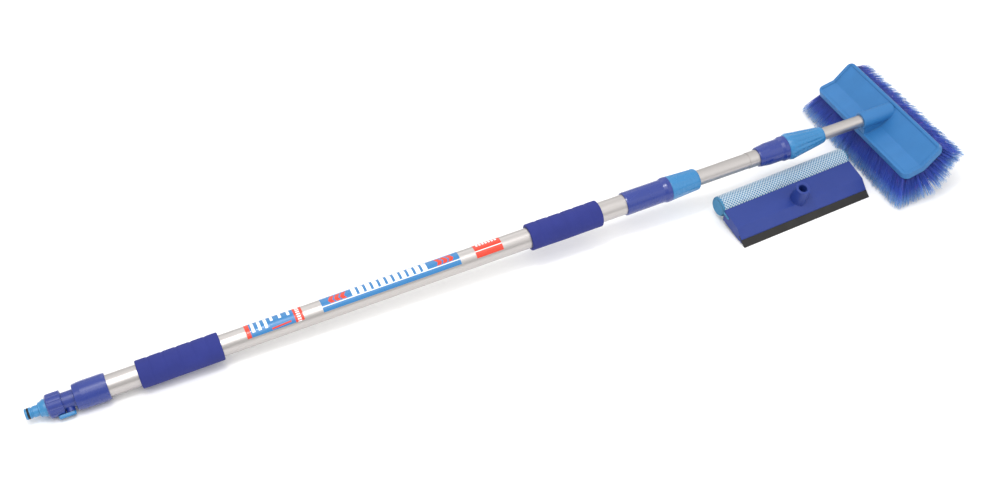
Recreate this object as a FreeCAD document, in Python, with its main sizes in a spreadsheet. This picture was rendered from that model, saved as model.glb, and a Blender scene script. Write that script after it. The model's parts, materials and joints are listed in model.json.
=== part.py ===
"""Telescopic water-fed window cleaning pole: a ball valve with a hose tail, three nested tubes with
twist locks, a bi-level brush on the end, and a separate squeegee and sponge head beside it.

The pole is drawn in its own frame, X along the tubes from the hose end and Z up, and then laid
down at the angle at which it rests on its end sleeve and its bristles. The squeegee head is drawn
with X along its blade and Z square to its top plate.
"""
import FreeCAD, Part
import math
import os
import Sketcher
from FreeCAD import Placement, Rotation, Vector

# Driving dimensions, millimetres and degrees. Stations ("..._from", "..._to") are along the pole
# from the mouth of the hose tail, and radii are from the pole's axis.
SIZES = {
    # how the pole lies, and where its hose end is in the part's frame
    "pole_tilt": 2.647,
    "axis_lift": 16.43,
    "frame_back": -727.8,
    # shared
    "axis_zero": 0.0,
    "slip": 0.05,
    "play": 0.2,
    "edge": 0.8,
    "round_off": 2.0,
    # hose tail, hose nut and washer
    "nose_mouth": 0.0,
    "nose_mouth_radius": 7.4,
    "nose_chamfer": 1.0,
    "nose_radius": 8.2,
    "nose_ring_from": 3.0,
    "nose_ring_to": 6.0,
    "nose_ring_floor": 5.7,
    "nose_ring_station": 4.5,
    "nose_ring_mid_radius": 6.95,
    "nose_ring_wire": 1.2,
    "catch_from": 8.2,
    "catch_to": 11.4,
    "catch_radius": 7.2,
    "nose_to": 18.7,
    "shoulder_radius": 10.5,
    "shoulder_to": 21.0,
    "tail_cone_to": 26.5,
    "tail_radius": 13.0,
    "tail_flange_from": 38.0,
    "tail_flange_to": 41.0,
    "tail_flange_radius": 14.0,
    "tail_bore": 4.5,
    "washer_to": 43.5,
    "washer_radius": 13.5,
    "washer_bore": 5.0,
    "nut_from": 30.0,
    "nut_to": 51.3,
    "nut_radius": 17.3,
    "nut_cavity": 14.5,
    "nut_notch_radius": 2.2,
    "nut_notch_centre": 18.9,
    # ball valve
    "valve_station": 58.5,
    "valve_thread_radius": 14.45,
    "valve_neck_from": 51.7,
    "valve_neck_to": 68.0,
    "valve_neck_radius": 12.7,
    "valve_step_radius": 11.0,
    "valve_step_to": 74.0,
    "valve_spigot_radius": 8.0,
    "valve_spigot_to": 94.0,
    "valve_chamber_radius": 9.0,
    "valve_chamber_to": 70.1,
    "valve_bore": 4.5,
    "seat_radius": 8.95,
    "seat_bore": 5.75,
    "seat_front_from": 43.6,
    "seat_front_to": 54.35,
    "seat_rear_from": 62.65,
    "seat_rear_to": 70.05,
    "ball_radius": 7.0,
    "ball_bore": 4.2,
    "ball_slot_width": 2.2,
    "ball_slot_floor": 5.0,
    "stem_radius": 3.0,
    "stem_tang_width": 2.0,
    "stem_tang_from": 5.1,
    "stem_from": 7.1,
    "stem_ring_from": 12.4,
    "stem_ring_to": 14.2,
    "stem_ring_floor": 1.95,
    "stem_ring_mid_radius": 2.45,
    "stem_ring_wire": 0.48,
    "stem_ring_depth": 13.3,
    "stem_to": 19.9,
    "stem_boss_radius": 6.2,
    "stem_boss_to": 17.0,
    "lever_from": 17.5,
    "lever_to": 22.6,
    "lever_socket_to": 20.0,
    "lever_front": 40.6,
    "lever_back": 64.3,
    "lever_half_width": 4.6,
    "lever_round": 2.0,
    "screw_shank_radius": 1.2,
    "screw_hole_radius": 1.3,
    "screw_shank_from": 15.0,
    "screw_head_radius": 2.4,
    "screw_head_from": 21.2,
    "screw_head_to": 22.3,
    "screw_drive_width": 0.7,
    "screw_drive_floor": 21.8,
    # end sleeve and the plug inside the outer tube
    "sleeve_from": 68.3,
    "sleeve_wall_to": 73.4,
    "sleeve_to": 114.6,
    "sleeve_radius": 20.0,
    "sleeve_front_radius": 18.9,
    "sleeve_back_radius": 19.4,
    "sleeve_swell": 5.0,
    "plug_from": 75.0,
    "plug_step": 95.0,
    "plug_to": 100.0,
    "plug_radius": 14.5,
    "plug_bore": 5.0,
    "plug_ring_from": 83.6,
    "plug_ring_to": 86.8,
    "plug_ring_floor": 12.1,
    "plug_ring_station": 85.2,
    "plug_ring_mid_radius": 13.3,
    "plug_ring_wire": 1.15,
    # tubes
    "outer_tube_from": 74.1,
    "outer_tube_to": 976.0,
    "outer_tube_radius": 16.0,
    "outer_tube_bore": 14.6,
    "middle_tube_from": 158.1,
    "middle_tube_to": 1192.0,
    "middle_tube_radius": 12.5,
    "middle_tube_bore": 11.4,
    "inner_tube_from": 330.1,
    "inner_tube_to": 1368.0,
    "inner_tube_radius": 10.0,
    "inner_tube_bore": 9.0,
    "ferrule_from": 1137.6,
    "ferrule_to": 1155.0,
    "ferrule_radius": 13.2,
    # foam grips
    "rear_grip_from": 158.0,
    "rear_grip_to": 277.5,
    "front_grip_from": 757.4,
    "front_grip_to": 875.5,
    "grip_radius": 20.8,
    "grip_round": 1.6,
    # labels, printed film wrapped over the top of the outer tube
    "label_under": 16.04,
    "label_over": 16.2,
    "label_wrap": 114.0,
    "instruction_label_from": 315.0,
    "instruction_label_to": 400.0,
    "range_label_from": 429.0,
    "range_label_to": 644.0,
    "small_label_from": 669.0,
    "small_label_to": 712.0,
    # lower twist lock
    "lower_lock_from": 918.6,
    "lower_lock_lip": 2.0,
    "lower_lock_lip_radius": 17.9,
    "lower_lock_radius": 18.5,
    "lower_lock_waist": 983.5,
    "lower_lock_waist_radius": 18.2,
    "lower_lock_flare": 988.6,
    "lower_lock_rim_radius": 20.0,
    "lower_lock_rim_to": 995.4,
    "lower_lock_shoulder": 976.4,
    "lower_lock_neck_radius": 16.2,
    "lower_lock_neck_to": 1030.0,
    "lower_lock_cone_from": 1012.0,
    "lower_lock_cone_small": 13.2,
    "lower_lock_cone_large": 14.4,
    "lower_collet_from": 1012.6,
    "lower_collet_flange_from": 1030.3,
    "lower_collet_to": 1034.0,
    "lower_collet_small": 13.12,
    "lower_collet_large": 14.3,
    "lower_collet_flange_radius": 15.3,
    "lower_nut_from": 995.7,
    "lower_nut_inner_to": 1034.4,
    "lower_nut_to": 1046.4,
    "lower_nut_large": 19.6,
    "lower_nut_small": 17.4,
    "collet_slot_width": 1.2,
    # upper twist lock
    "upper_lock_from": 1155.2,
    "upper_lock_lip": 2.0,
    "upper_lock_lip_radius": 15.3,
    "upper_lock_start_radius": 16.0,
    "upper_lock_swell": 1174.0,
    "upper_lock_radius": 18.2,
    "upper_lock_waist": 1194.5,
    "upper_lock_flare": 1199.5,
    "upper_lock_rim_radius": 20.0,
    "upper_lock_rim_to": 1206.3,
    "upper_lock_shoulder": 1192.3,
    "upper_lock_neck_radius": 14.6,
    "upper_lock_neck_to": 1240.0,
    "upper_lock_cone_from": 1222.0,
    "upper_lock_cone_small": 11.0,
    "upper_lock_cone_large": 12.2,
    "upper_collet_from": 1222.6,
    "upper_collet_flange_from": 1240.3,
    "upper_collet_to": 1246.0,
    "upper_collet_small": 10.92,
    "upper_collet_large": 12.1,
    "upper_collet_flange_radius": 13.6,
    "upper_nut_from": 1206.6,
    "upper_nut_inner_to": 1246.4,
    "upper_nut_start_radius": 20.0,
    "upper_nut_crest": 1214.0,
    "upper_nut_crest_radius": 21.9,
    "upper_nut_taper_to": 1271.5,
    "upper_nut_taper_radius": 13.8,
    "upper_nut_to": 1275.0,
    "upper_nut_end_radius": 12.9,
    # guide pistons and their sealing rings
    "middle_piston_from": 150.0,
    "middle_piston_step": 158.0,
    "middle_piston_to": 188.0,
    "middle_piston_bore": 9.0,
    "middle_ring_from": 151.6,
    "middle_ring_to": 154.6,
    "middle_ring_floor": 12.25,
    "middle_ring_station": 153.1,
    "middle_ring_mid_radius": 13.4,
    "middle_ring_wire": 1.12,
    "upper_piston_from": 321.0,
    "upper_piston_step": 330.0,
    "upper_piston_to": 360.0,
    "upper_piston_bore": 7.0,
    "upper_ring_from": 322.6,
    "upper_ring_to": 325.2,
    "upper_ring_floor": 9.4,
    "upper_ring_station": 323.9,
    "upper_ring_mid_radius": 10.37,
    "upper_ring_wire": 0.93,
    # plug in the inner tube's end, whose nose takes either head
    "head_plug_from": 1346.0,
    "head_plug_shelf": 1368.2,
    "head_plug_body_radius": 8.95,
    "head_plug_nose_radius": 6.45,
    "head_plug_to": 1392.0,
    "head_plug_bore": 3.2,
    "head_ring_from": 1380.0,
    "head_ring_to": 1382.4,
    "head_ring_floor": 4.7,
    "head_ring_station": 1381.2,
    "head_ring_mid_radius": 5.55,
    "head_ring_wire": 0.82,
    # brush block: a shallow V of two wings, drawn as stations and heights above the pole's axis
    "block_half_length": 123.5,
    "near_rim": 1350.5,
    "near_rim_height": -21.5,
    "valley": 1382.0,
    "valley_height": -15.0,
    "far_rim": 1413.0,
    "far_rim_height": 14.5,
    "far_under": 1420.53,
    "far_under_height": 6.57,
    "valley_under": 1387.15,
    "valley_under_height": -25.13,
    "near_under": 1352.7,
    "near_under_height": -32.26,
    "block_corner": 11.0,
    "rim_round": 0.5,
    "dish_near": 1356.3,
    "dish_near_height": -21.75,
    "dish_valley": 1382.7,
    "dish_valley_height": -16.3,
    "dish_far": 1410.4,
    "dish_far_height": 10.3,
    "dish_far_top": 1400.0,
    "dish_far_top_height": 20.2,
    "dish_near_top": 1353.4,
    "dish_near_top_height": -8.0,
    "dish_half_length": 118.0,
    "cut_floor": -60.0,
    "boss_from": 1348.8,
    "boss_to": 1409.0,
    "boss_radius": 13.8,
    "boss_round": 2.5,
    "boss_web_half_width": 11.0,
    "boss_web_floor": -24.0,
    "boss_web_from": 1351.5,
    "boss_socket_to": 1368.3,
    "boss_bore_radius": 6.5,
    "boss_bore_to": 1394.0,
    "spray_station": 1386.5,
    "spray_hole_radius": 4.0,
    "spray_jet_radius": 1.5,
    "spray_top": -12.0,
    "spray_bottom": -22.2,
    # bristle fields, as tapered blocks from the wings' undersides out to the tips
    "bristle_root_half": 118.0,
    "near_tip_half": 138.0,
    "far_tip_half": 131.5,
    "bristle_gap": 0.1,
    "near_root_from": 1.5,
    "near_root_to": 33.5,
    "near_tip_from": -19.0,
    "near_tip_to": 40.5,
    "near_bristle_length": 43.31,
    "far_root_from": 2.6,
    "far_root_to": 44.6,
    "far_tip_from": -6.5,
    "far_tip_to": 55.0,
    "far_bristle_length": 43.0,
    # squeegee head: stations back from the blade's tip and heights square to the top plate
    "squeegee_tilt": 14.5,
    "squeegee_turn": 4.42,
    "squeegee_centre": 1196.31,
    "squeegee_side": -101.54,
    "squeegee_half": 122.0,
    "plate_front": 11.6,
    "plate_front_height": 5.0,
    "plate_fold": 28.7,
    "plate_top_height": 15.6,
    "plate_back": 66.1,
    "plate_heel": 61.0,
    "plate_heel_height": -4.7,
    "plate_keel": 20.6,
    "plate_keel_height": -2.0,
    "plate_toe": 9.6,
    "plate_toe_height": 0.6,
    "cradle_radius": 17.0,
    "sponge_station": 79.6,
    "sponge_height": 6.3,
    "sponge_radius": 16.2,
    "sponge_end_trim": -2.0,
    "net_under": 16.3,
    "net_over": 16.8,
    "net_end_trim": 4.0,
    "tongue_front": 51.0,
    "tongue_back": 72.0,
    "tongue_under": 8.2,
    "tongue_over": 12.2,
    "tongue_gap": 0.1,
    "cavity_front": 25.0,
    "cavity_front_height": 9.6,
    "cavity_step": 47.0,
    "cavity_step_height": 11.8,
    "cavity_low_height": 5.2,
    "cavity_back": 55.0,
    "cavity_below": -12.0,
    "cavity_wall": 3.0,
    "cavity_rib": 16.0,
    "blade_tip": 0.0,
    "blade_tip_height": 0.0,
    "blade_root": 18.6,
    "blade_root_height": 8.0,
    "blade_back": 19.8,
    "blade_back_height": 5.2,
    "blade_under": 2.4,
    "blade_under_height": -0.62,
    "socket_station": 37.3,
    "socket_radius": 14.0,
    "socket_taper": 3.2,
    "socket_height": 44.9,
    "socket_bore": 6.5,
    "socket_floor": 20.0,
    "socket_below": -14.0,
    "socket_round": 1.5,
    "socket_lead_in": 1.6,
    "trim_front": -20.0,
    "trim_back": 90.0,
    "trim_below": -60.0,
}

# The valve's stem points down and to the side, this far round the pole from straight down
STEM_ANGLE = -55.0
NOTCH_COUNT = 12
COLLET_SLOT_COUNT = 6

doc = FreeCAD.newDocument("WindowCleaningPole")
sheet = doc.addObject("Spreadsheet::Sheet", "Sizes")
parts = {}


def fill_sheet():
    """Write every driving dimension into the sheet, each with its alias."""
    for row, (alias, size) in enumerate(SIZES.items(), start=1):
        sheet.set(f"A{row}", alias)
        sheet.set(f"B{row}", str(size))
        sheet.setAlias(f"B{row}", alias)
    doc.recompute()


def number(words):
    """Value of a sum of sheet names, such as "nut_from + edge"."""
    total = 0.0
    sign = 1.0
    for word in words.split():
        if word in "+-":
            sign = 1.0 if word == "+" else -1.0
        else:
            total += sign * SIZES[word]
    return total


def formula(words):
    """The same sum as a FreeCAD expression on the sheet."""
    return " ".join(word if word in "+-" else f"Sizes.{word}" for word in words.split())


def bind(target, prop, words):
    """Bind one property to a sum of sheet names."""
    target.setExpression(prop, formula(words))


def new_body(label):
    """An empty body with its own label."""
    body = doc.addObject("PartDesign::Body", label)
    body.Label = label
    parts[label] = body
    return body


def origin_feature(body, role):
    """One of the body's own origin planes or axes."""
    return next(item for item in body.Origin.OriginFeatures if item.Role == role)


def empty_sketch(body, plane, label):
    """A sketch on one of the body's origin planes."""
    sketch = body.newObject("Sketcher::SketchObject", label)
    sketch.AttachmentSupport = (origin_feature(body, plane), [""])
    sketch.MapMode = "FlatFace"
    return sketch


def pin_point(sketch, geometry, point, across, up):
    """Fix a point of a sketch by two distances from its origin, both bound to the sheet."""
    for kind, words in (("DistanceX", across), ("DistanceY", up)):
        rule = Sketcher.Constraint(kind, -1, 1, geometry, point, number(words))
        row = sketch.addConstraint(rule)
        sketch.setExpression(f"Constraints[{row}]", formula(words))


def polygon(body, plane, label, points):
    """A closed outline with straight sides. Each point is a pair of sums of sheet names."""
    sketch = empty_sketch(body, plane, label)
    corners = [Vector(number(across), number(up), 0) for across, up in points]
    count = len(corners)
    for index in range(count):
        sketch.addGeometry(Part.LineSegment(corners[index], corners[(index + 1) % count]), False)
    for index in range(count):
        sketch.addConstraint(Sketcher.Constraint("Coincident", index, 2, (index + 1) % count, 1))
    for index, (across, up) in enumerate(points):
        pin_point(sketch, index, 1, across, up)
    return sketch


def circle(body, plane, label, across, up, radius):
    """A sketched circle."""
    sketch = empty_sketch(body, plane, label)
    centre = Vector(number(across), number(up), 0)
    ring = sketch.addGeometry(Part.Circle(centre, Vector(0, 0, 1), number(radius)), False)
    pin_point(sketch, ring, 3, across, up)
    row = sketch.addConstraint(Sketcher.Constraint("Radius", ring, number(radius)))
    sketch.setExpression(f"Constraints[{row}]", formula(radius))
    return sketch


def feature(body, kind, label, sketch):
    """A feature made from one sketch."""
    made = body.newObject(f"PartDesign::{kind}", label)
    made.Profile = sketch
    return made


def turned(label, points):
    """A body revolved about the pole's axis from an outline of stations and radii."""
    body = new_body(label)
    sketch = polygon(body, "XZ_Plane", f"{label}_outline", points)
    solid = feature(body, "Revolution", f"{label}_turned", sketch)
    solid.ReferenceAxis = (sketch, ["H_Axis"])
    solid.Angle = 360.0
    doc.recompute()
    return body


def bored(body, label, points):
    """Cut a revolved hollow into a body."""
    sketch = polygon(body, "XZ_Plane", f"{label}_outline", points)
    cut = feature(body, "Groove", label, sketch)
    cut.ReferenceAxis = (sketch, ["H_Axis"])
    cut.Angle = 360.0
    return must_remove(body, cut)


def must_remove(body, cut):
    """Recompute, and stop if a cut took nothing away."""
    before = cut.BaseFeature.Shape.Volume
    doc.recompute()
    if not cut.Shape.Volume < before - 1e-3:
        raise RuntimeError(f"{cut.Label} of {body.Label} cuts nothing")
    return cut


def padded(body, label, sketch, length, backwards=False, both_ways=False):
    """Add material along the sketch's normal."""
    solid = feature(body, "Pad", label, sketch)
    bind(solid, "Length", length)
    solid.Reversed = backwards
    solid.Midplane = both_ways
    doc.recompute()
    return solid


def pocketed(body, label, sketch, length=None, backwards=False, both_ways=False):
    """Take material away along the sketch's normal, right through when no length is given."""
    cut = feature(body, "Pocket", label, sketch)
    if length is None:
        cut.Type = "ThroughAll"
    else:
        bind(cut, "Length", length)
    cut.Reversed = backwards
    cut.Midplane = both_ways
    return must_remove(body, cut)


def around_pole(body, original, count, label):
    """Repeat a cut evenly about the pole's axis."""
    pattern = body.newObject("PartDesign::PolarPattern", label)
    pattern.Originals = [original]
    pattern.Axis = (origin_feature(body, "X_Axis"), [""])
    pattern.Angle = 360.0
    pattern.Occurrences = count
    body.Tip = pattern
    doc.recompute()
    return pattern


def softened(body, label, radius, chosen):
    """Fillet the edges of the body's tip that the chosen test accepts."""
    base = body.Tip
    names = [f"Edge{i}" for i, edge in enumerate(base.Shape.Edges, start=1) if chosen(edge)]
    if not names:
        raise RuntimeError(f"{label} of {body.Label} finds no edge")
    fillet = body.newObject("PartDesign::Fillet", label)
    fillet.Base = (base, names)
    bind(fillet, "Radius", radius)
    doc.recompute()
    if not fillet.Shape.isValid() or len(fillet.Shape.Solids) != 1:
        raise RuntimeError(f"{label} of {body.Label} does not leave one sound solid")
    return fillet


def rim_at(station, radius):
    """Test for a whole circular edge at a station and radius on the pole's axis."""
    def chosen(edge):
        curve = edge.Curve
        return (isinstance(curve, Part.Circle)
                and abs(curve.Center.x - number(station)) < 1e-3
                and abs(curve.Radius - number(radius)) < 1e-3)
    return chosen


def seal_ring(label, station, mid_radius, wire):
    """A rubber ring of round section, lying across the pole's axis."""
    ring = doc.addObject("Part::Torus", label)
    ring.Label = label
    bind(ring, "Radius1", mid_radius)
    bind(ring, "Radius2", wire)
    doc.recompute()
    parts[label] = ring
    return ring, number(station)


def pole_placement():
    """Where the pole's own frame lies in the part's frame."""
    lay = Rotation(Vector(0, 1, 0), -SIZES["pole_tilt"])
    return Placement(Vector(SIZES["frame_back"], 0, SIZES["axis_lift"]), lay)


def stem_placement():
    """The pole's frame turned so that its -Z runs out along the valve's stem."""
    return pole_placement().multiply(Placement(Vector(), Rotation(Vector(1, 0, 0), STEM_ANGLE)))


def squeegee_placement():
    """Where the squeegee head's frame lies: turned a little, and tilted onto its blade."""
    turn = Rotation(Vector(0, 0, 1), SIZES["squeegee_turn"])
    tilt = Rotation(Vector(1, 0, 0), SIZES["squeegee_tilt"])
    spot = Vector(SIZES["squeegee_centre"] + SIZES["frame_back"], SIZES["squeegee_side"], 0)
    return Placement(spot, turn.multiply(tilt))


def make_hose_tail():
    """Quick-connect nose with a catch groove, a shoulder and a flange that the nut pulls in."""
    turned("hose_tail", [
        ("nose_mouth", "tail_bore"),
        ("nose_mouth", "nose_mouth_radius"),
        ("nose_chamfer", "nose_radius"),
        ("nose_ring_from", "nose_radius"),
        ("nose_ring_from", "nose_ring_floor"),
        ("nose_ring_to", "nose_ring_floor"),
        ("nose_ring_to", "nose_radius"),
        ("catch_from", "nose_radius"),
        ("catch_from + edge", "catch_radius"),
        ("catch_to - edge", "catch_radius"),
        ("catch_to", "nose_radius"),
        ("nose_to", "nose_radius"),
        ("nose_to + edge", "shoulder_radius"),
        ("shoulder_to", "shoulder_radius"),
        ("tail_cone_to", "tail_radius"),
        ("tail_flange_from", "tail_radius"),
        ("tail_flange_from", "tail_flange_radius"),
        ("tail_flange_to", "tail_flange_radius"),
        ("tail_flange_to", "tail_bore"),
    ])


def make_hose_washer():
    """Flat rubber washer between the hose tail and the valve."""
    turned("hose_washer", [
        ("tail_flange_to", "washer_bore"),
        ("tail_flange_to", "washer_radius"),
        ("washer_to", "washer_radius"),
        ("washer_to", "washer_bore"),
    ])


def make_hose_nut():
    """Union nut with finger notches, turning on the valve's threaded end."""
    body = turned("hose_nut", [
        ("nut_from", "tail_radius + slip"),
        ("nut_from", "nut_radius - round_off"),
        ("nut_from + round_off", "nut_radius"),
        ("nut_to - edge", "nut_radius"),
        ("nut_to", "nut_radius - edge"),
        ("nut_to", "nut_cavity"),
        ("tail_flange_from - play", "nut_cavity"),
        ("tail_flange_from - play", "tail_radius + slip"),
    ])
    notch = circle(body, "YZ_Plane", "nut_notch", "axis_zero", "nut_notch_centre",
                   "nut_notch_radius")
    cut = pocketed(body, "nut_notch_cut", notch, both_ways=True)
    around_pole(body, cut, NOTCH_COUNT, "nut_notches")


def make_valve_body():
    """Valve housing: threaded end, neck with the stem's boss, and a spigot into the end plug."""
    body = turned("valve_body", [
        ("washer_to", "axis_zero"),
        ("washer_to", "valve_thread_radius"),
        ("valve_neck_from", "valve_thread_radius"),
        ("valve_neck_from", "valve_neck_radius"),
        ("valve_neck_to", "valve_neck_radius"),
        ("valve_neck_to", "valve_step_radius"),
        ("valve_step_to", "valve_step_radius"),
        ("valve_step_to", "valve_spigot_radius"),
        ("valve_spigot_to", "valve_spigot_radius"),
        ("valve_spigot_to", "axis_zero"),
    ])
    boss = circle(body, "XY_Plane", "stem_boss", "valve_station", "axis_zero", "stem_boss_radius")
    padded(body, "stem_boss_pad", boss, "stem_boss_to", backwards=True)
    bored(body, "valve_chamber", [
        ("washer_to", "axis_zero"),
        ("washer_to", "valve_chamber_radius"),
        ("valve_chamber_to", "valve_chamber_radius"),
        ("valve_chamber_to", "valve_bore"),
        ("valve_spigot_to", "valve_bore"),
        ("valve_spigot_to", "axis_zero"),
    ])
    hole = circle(body, "XY_Plane", "stem_hole", "valve_station", "axis_zero",
                  "stem_radius + slip")
    pocketed(body, "stem_hole_cut", hole, "stem_boss_to + edge")


def make_valve_seats():
    """The two rings that the ball turns between."""
    for name in ("front", "rear"):
        turned(f"valve_seat_{name}", [
            (f"seat_{name}_from", "seat_bore"),
            (f"seat_{name}_from", "seat_radius"),
            (f"seat_{name}_to", "seat_radius"),
            (f"seat_{name}_to", "seat_bore"),
        ])


def make_valve_ball():
    """Bored ball with a slot for the stem's tang."""
    ball = doc.addObject("Part::Sphere", "ball_blank")
    bind(ball, "Radius", "ball_radius")
    ball.Placement.Base = Vector(SIZES["valve_station"], 0, 0)
    bore = doc.addObject("Part::Cylinder", "ball_bore_tool")
    bind(bore, "Radius", "ball_bore")
    bind(bore, "Height", "ball_radius + ball_radius")
    bore.Placement = Placement(
        Vector(number("valve_station - ball_radius"), 0, 0), Rotation(Vector(0, 1, 0), 90))
    slot = doc.addObject("Part::Box", "ball_slot_tool")
    bind(slot, "Length", "ball_radius + ball_radius")
    bind(slot, "Width", "ball_slot_width")
    bind(slot, "Height", "ball_radius")
    slot.Placement.Base = Vector(number("valve_station - ball_radius"),
                                 -SIZES["ball_slot_width"] / 2,
                                 -number("ball_slot_floor + ball_radius"))
    tools = doc.addObject("Part::Fuse", "ball_tools")
    tools.Base = bore
    tools.Tool = slot
    cut = doc.addObject("Part::Cut", "valve_ball")
    cut.Base = ball
    cut.Tool = tools
    cut.Label = "valve_ball"
    doc.recompute()
    parts["valve_ball"] = cut


def make_valve_stem():
    """Stem with a tang in the ball, a groove for its sealing ring and a square end in the lever."""
    body = new_body("valve_stem")
    for name, top, bottom in (("shaft", "stem_from", "stem_ring_from"),
                              ("cap", "stem_ring_to", "stem_to")):
        ring = circle(body, "XY_Plane", f"stem_{name}", "valve_station", "axis_zero", "stem_radius")
        set_back(ring, top)
        padded(body, f"stem_{name}_pad", ring, f"{bottom} - {top}", backwards=True)
        if name == "shaft":
            neck = circle(body, "XY_Plane", "stem_neck", "valve_station", "axis_zero",
                          "stem_ring_floor")
            set_back(neck, "stem_ring_from")
            padded(body, "stem_neck_pad", neck, "stem_ring_to - stem_ring_from", backwards=True)
    tang = new_rectangle(body, "XY_Plane", "stem_tang", "valve_station", "axis_zero",
                         "stem_radius - play", "stem_tang_width")
    set_back(tang, "stem_tang_from")
    padded(body, "stem_tang_pad", tang, "stem_from - stem_tang_from", backwards=True)
    hole = circle(body, "XY_Plane", "stem_screw_hole", "valve_station", "axis_zero",
                  "screw_shank_radius + slip")
    set_back(hole, "screw_shank_from - play")
    pocketed(body, "stem_screw_hole_cut", hole, "stem_to")


def new_rectangle(body, plane, label, across, up, half_length, width):
    """A rectangle centred on a point, of a given half length and half a given width each side."""
    sketch = empty_sketch(body, plane, label)
    x, y = number(across), number(up)
    reach, half = number(half_length), number(width) / 2
    corners = [Vector(x - reach, y - half, 0), Vector(x + reach, y - half, 0),
               Vector(x + reach, y + half, 0), Vector(x - reach, y + half, 0)]
    for index in range(4):
        sketch.addGeometry(Part.LineSegment(corners[index], corners[(index + 1) % 4]), False)
    for index in range(4):
        sketch.addConstraint(Sketcher.Constraint("Coincident", index, 2, (index + 1) % 4, 1))
    signs = ((-1, -1), (1, -1), (1, 1), (-1, 1))
    for index, (along, aside) in enumerate(signs):
        corner = corners[index]
        for kind, size, rule in (
                ("DistanceX", corner.x, signed_sum(across, along, half_length, 1)),
                ("DistanceY", corner.y, signed_sum(up, aside, width, 2))):
            row = sketch.addConstraint(Sketcher.Constraint(kind, -1, 1, index, 1, size))
            sketch.setExpression(f"Constraints[{row}]", rule)
    return sketch


def signed_sum(centre, sign, reach, divisor):
    """Expression for a centre plus or minus a reach shared out by a divisor."""
    mark = "+" if sign > 0 else "-"
    return f"{formula(centre)} {mark} ({formula(reach)}) / {divisor}"


def set_back(sketch, words):
    """Move a sketch on an origin plane down its normal by a sum of sheet names."""
    sketch.AttachmentOffset = Placement(Vector(0, 0, -number(words)), Rotation())
    sketch.setExpression("AttachmentOffset.Base.z", f"-({formula(words)})")


def make_stem_ring():
    """Sealing ring on the valve's stem."""
    ring = doc.addObject("Part::Torus", "stem_o_ring")
    ring.Label = "stem_o_ring"
    bind(ring, "Radius1", "stem_ring_mid_radius")
    bind(ring, "Radius2", "stem_ring_wire")
    parts["stem_o_ring"] = ring


def make_valve_lever():
    """Bar lever on the end of the stem, lying along the pole when the valve is open."""
    body = new_body("valve_lever")
    outline = polygon(body, "XY_Plane", "lever_outline", [
        ("lever_front", "axis_zero - lever_half_width + round_off"),
        ("lever_front + round_off", "axis_zero - lever_half_width"),
        ("lever_back - round_off", "axis_zero - lever_half_width"),
        ("lever_back", "axis_zero - lever_half_width + round_off"),
        ("lever_back", "lever_half_width - round_off"),
        ("lever_back - round_off", "lever_half_width"),
        ("lever_front + round_off", "lever_half_width"),
        ("lever_front", "lever_half_width - round_off"),
    ])
    set_back(outline, "lever_from")
    padded(body, "lever_pad", outline, "lever_to - lever_from", backwards=True)
    softened(body, "lever_rounding", "lever_round",
             lambda edge: all(abs(v.Z + SIZES["lever_to"]) < 1e-3 for v in edge.Vertexes))
    socket = circle(body, "XY_Plane", "lever_socket", "valve_station", "axis_zero",
                    "stem_radius + slip")
    pocketed(body, "lever_socket_cut", socket, "lever_socket_to")
    hole = circle(body, "XY_Plane", "lever_screw_hole", "valve_station", "axis_zero",
                  "screw_hole_radius")
    pocketed(body, "lever_screw_hole_cut", hole, "lever_to + edge")
    sink = circle(body, "XY_Plane", "lever_screw_sink", "valve_station", "axis_zero",
                  "screw_head_radius + slip")
    set_back(sink, "screw_head_from")
    pocketed(body, "lever_screw_sink_cut", sink, "lever_to")


def make_lever_screw():
    """Small screw that holds the lever on its stem."""
    body = new_body("lever_screw")
    shank = circle(body, "XY_Plane", "screw_shank", "valve_station", "axis_zero",
                   "screw_shank_radius")
    set_back(shank, "screw_shank_from")
    padded(body, "screw_shank_pad", shank, "screw_head_from - screw_shank_from", backwards=True)
    head = circle(body, "XY_Plane", "screw_head", "valve_station", "axis_zero",
                  "screw_head_radius")
    set_back(head, "screw_head_from")
    padded(body, "screw_head_pad", head, "screw_head_to - screw_head_from", backwards=True)
    drive = new_rectangle(body, "XY_Plane", "screw_drive", "valve_station", "axis_zero",
                          "stem_radius", "screw_drive_width")
    set_back(drive, "screw_drive_floor")
    pocketed(body, "screw_drive_cut", drive, "edge")


def make_end_sleeve():
    """Sleeve over the tube's hose end, slightly barrelled."""
    body = turned("end_sleeve", [
        ("sleeve_from", "valve_step_radius + slip"),
        ("sleeve_from", "sleeve_front_radius - edge"),
        ("sleeve_from + edge", "sleeve_front_radius"),
        ("sleeve_wall_to + sleeve_swell", "sleeve_radius"),
        ("sleeve_to - sleeve_swell", "sleeve_radius"),
        ("sleeve_to - edge", "sleeve_back_radius"),
        ("sleeve_to", "sleeve_back_radius - edge"),
        ("sleeve_to", "outer_tube_radius + slip"),
        ("sleeve_wall_to", "outer_tube_radius + slip"),
        ("sleeve_wall_to", "valve_step_radius + slip"),
    ])


def make_end_plug():
    """Plug that seals the outer tube and takes the valve's spigot."""
    turned("end_plug", [
        ("plug_from", "valve_spigot_radius + slip"),
        ("plug_from", "plug_radius"),
        ("plug_ring_from", "plug_radius"),
        ("plug_ring_from", "plug_ring_floor"),
        ("plug_ring_to", "plug_ring_floor"),
        ("plug_ring_to", "plug_radius"),
        ("plug_to", "plug_radius"),
        ("plug_to", "plug_bore"),
        ("plug_step", "plug_bore"),
        ("plug_step", "valve_spigot_radius + slip"),
    ])


def make_tubes():
    """The three aluminium tubes."""
    for name in ("outer", "middle", "inner"):
        turned(f"{name}_tube", [
            (f"{name}_tube_from", f"{name}_tube_bore"),
            (f"{name}_tube_from", f"{name}_tube_radius"),
            (f"{name}_tube_to", f"{name}_tube_radius"),
            (f"{name}_tube_to", f"{name}_tube_bore"),
        ])


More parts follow.
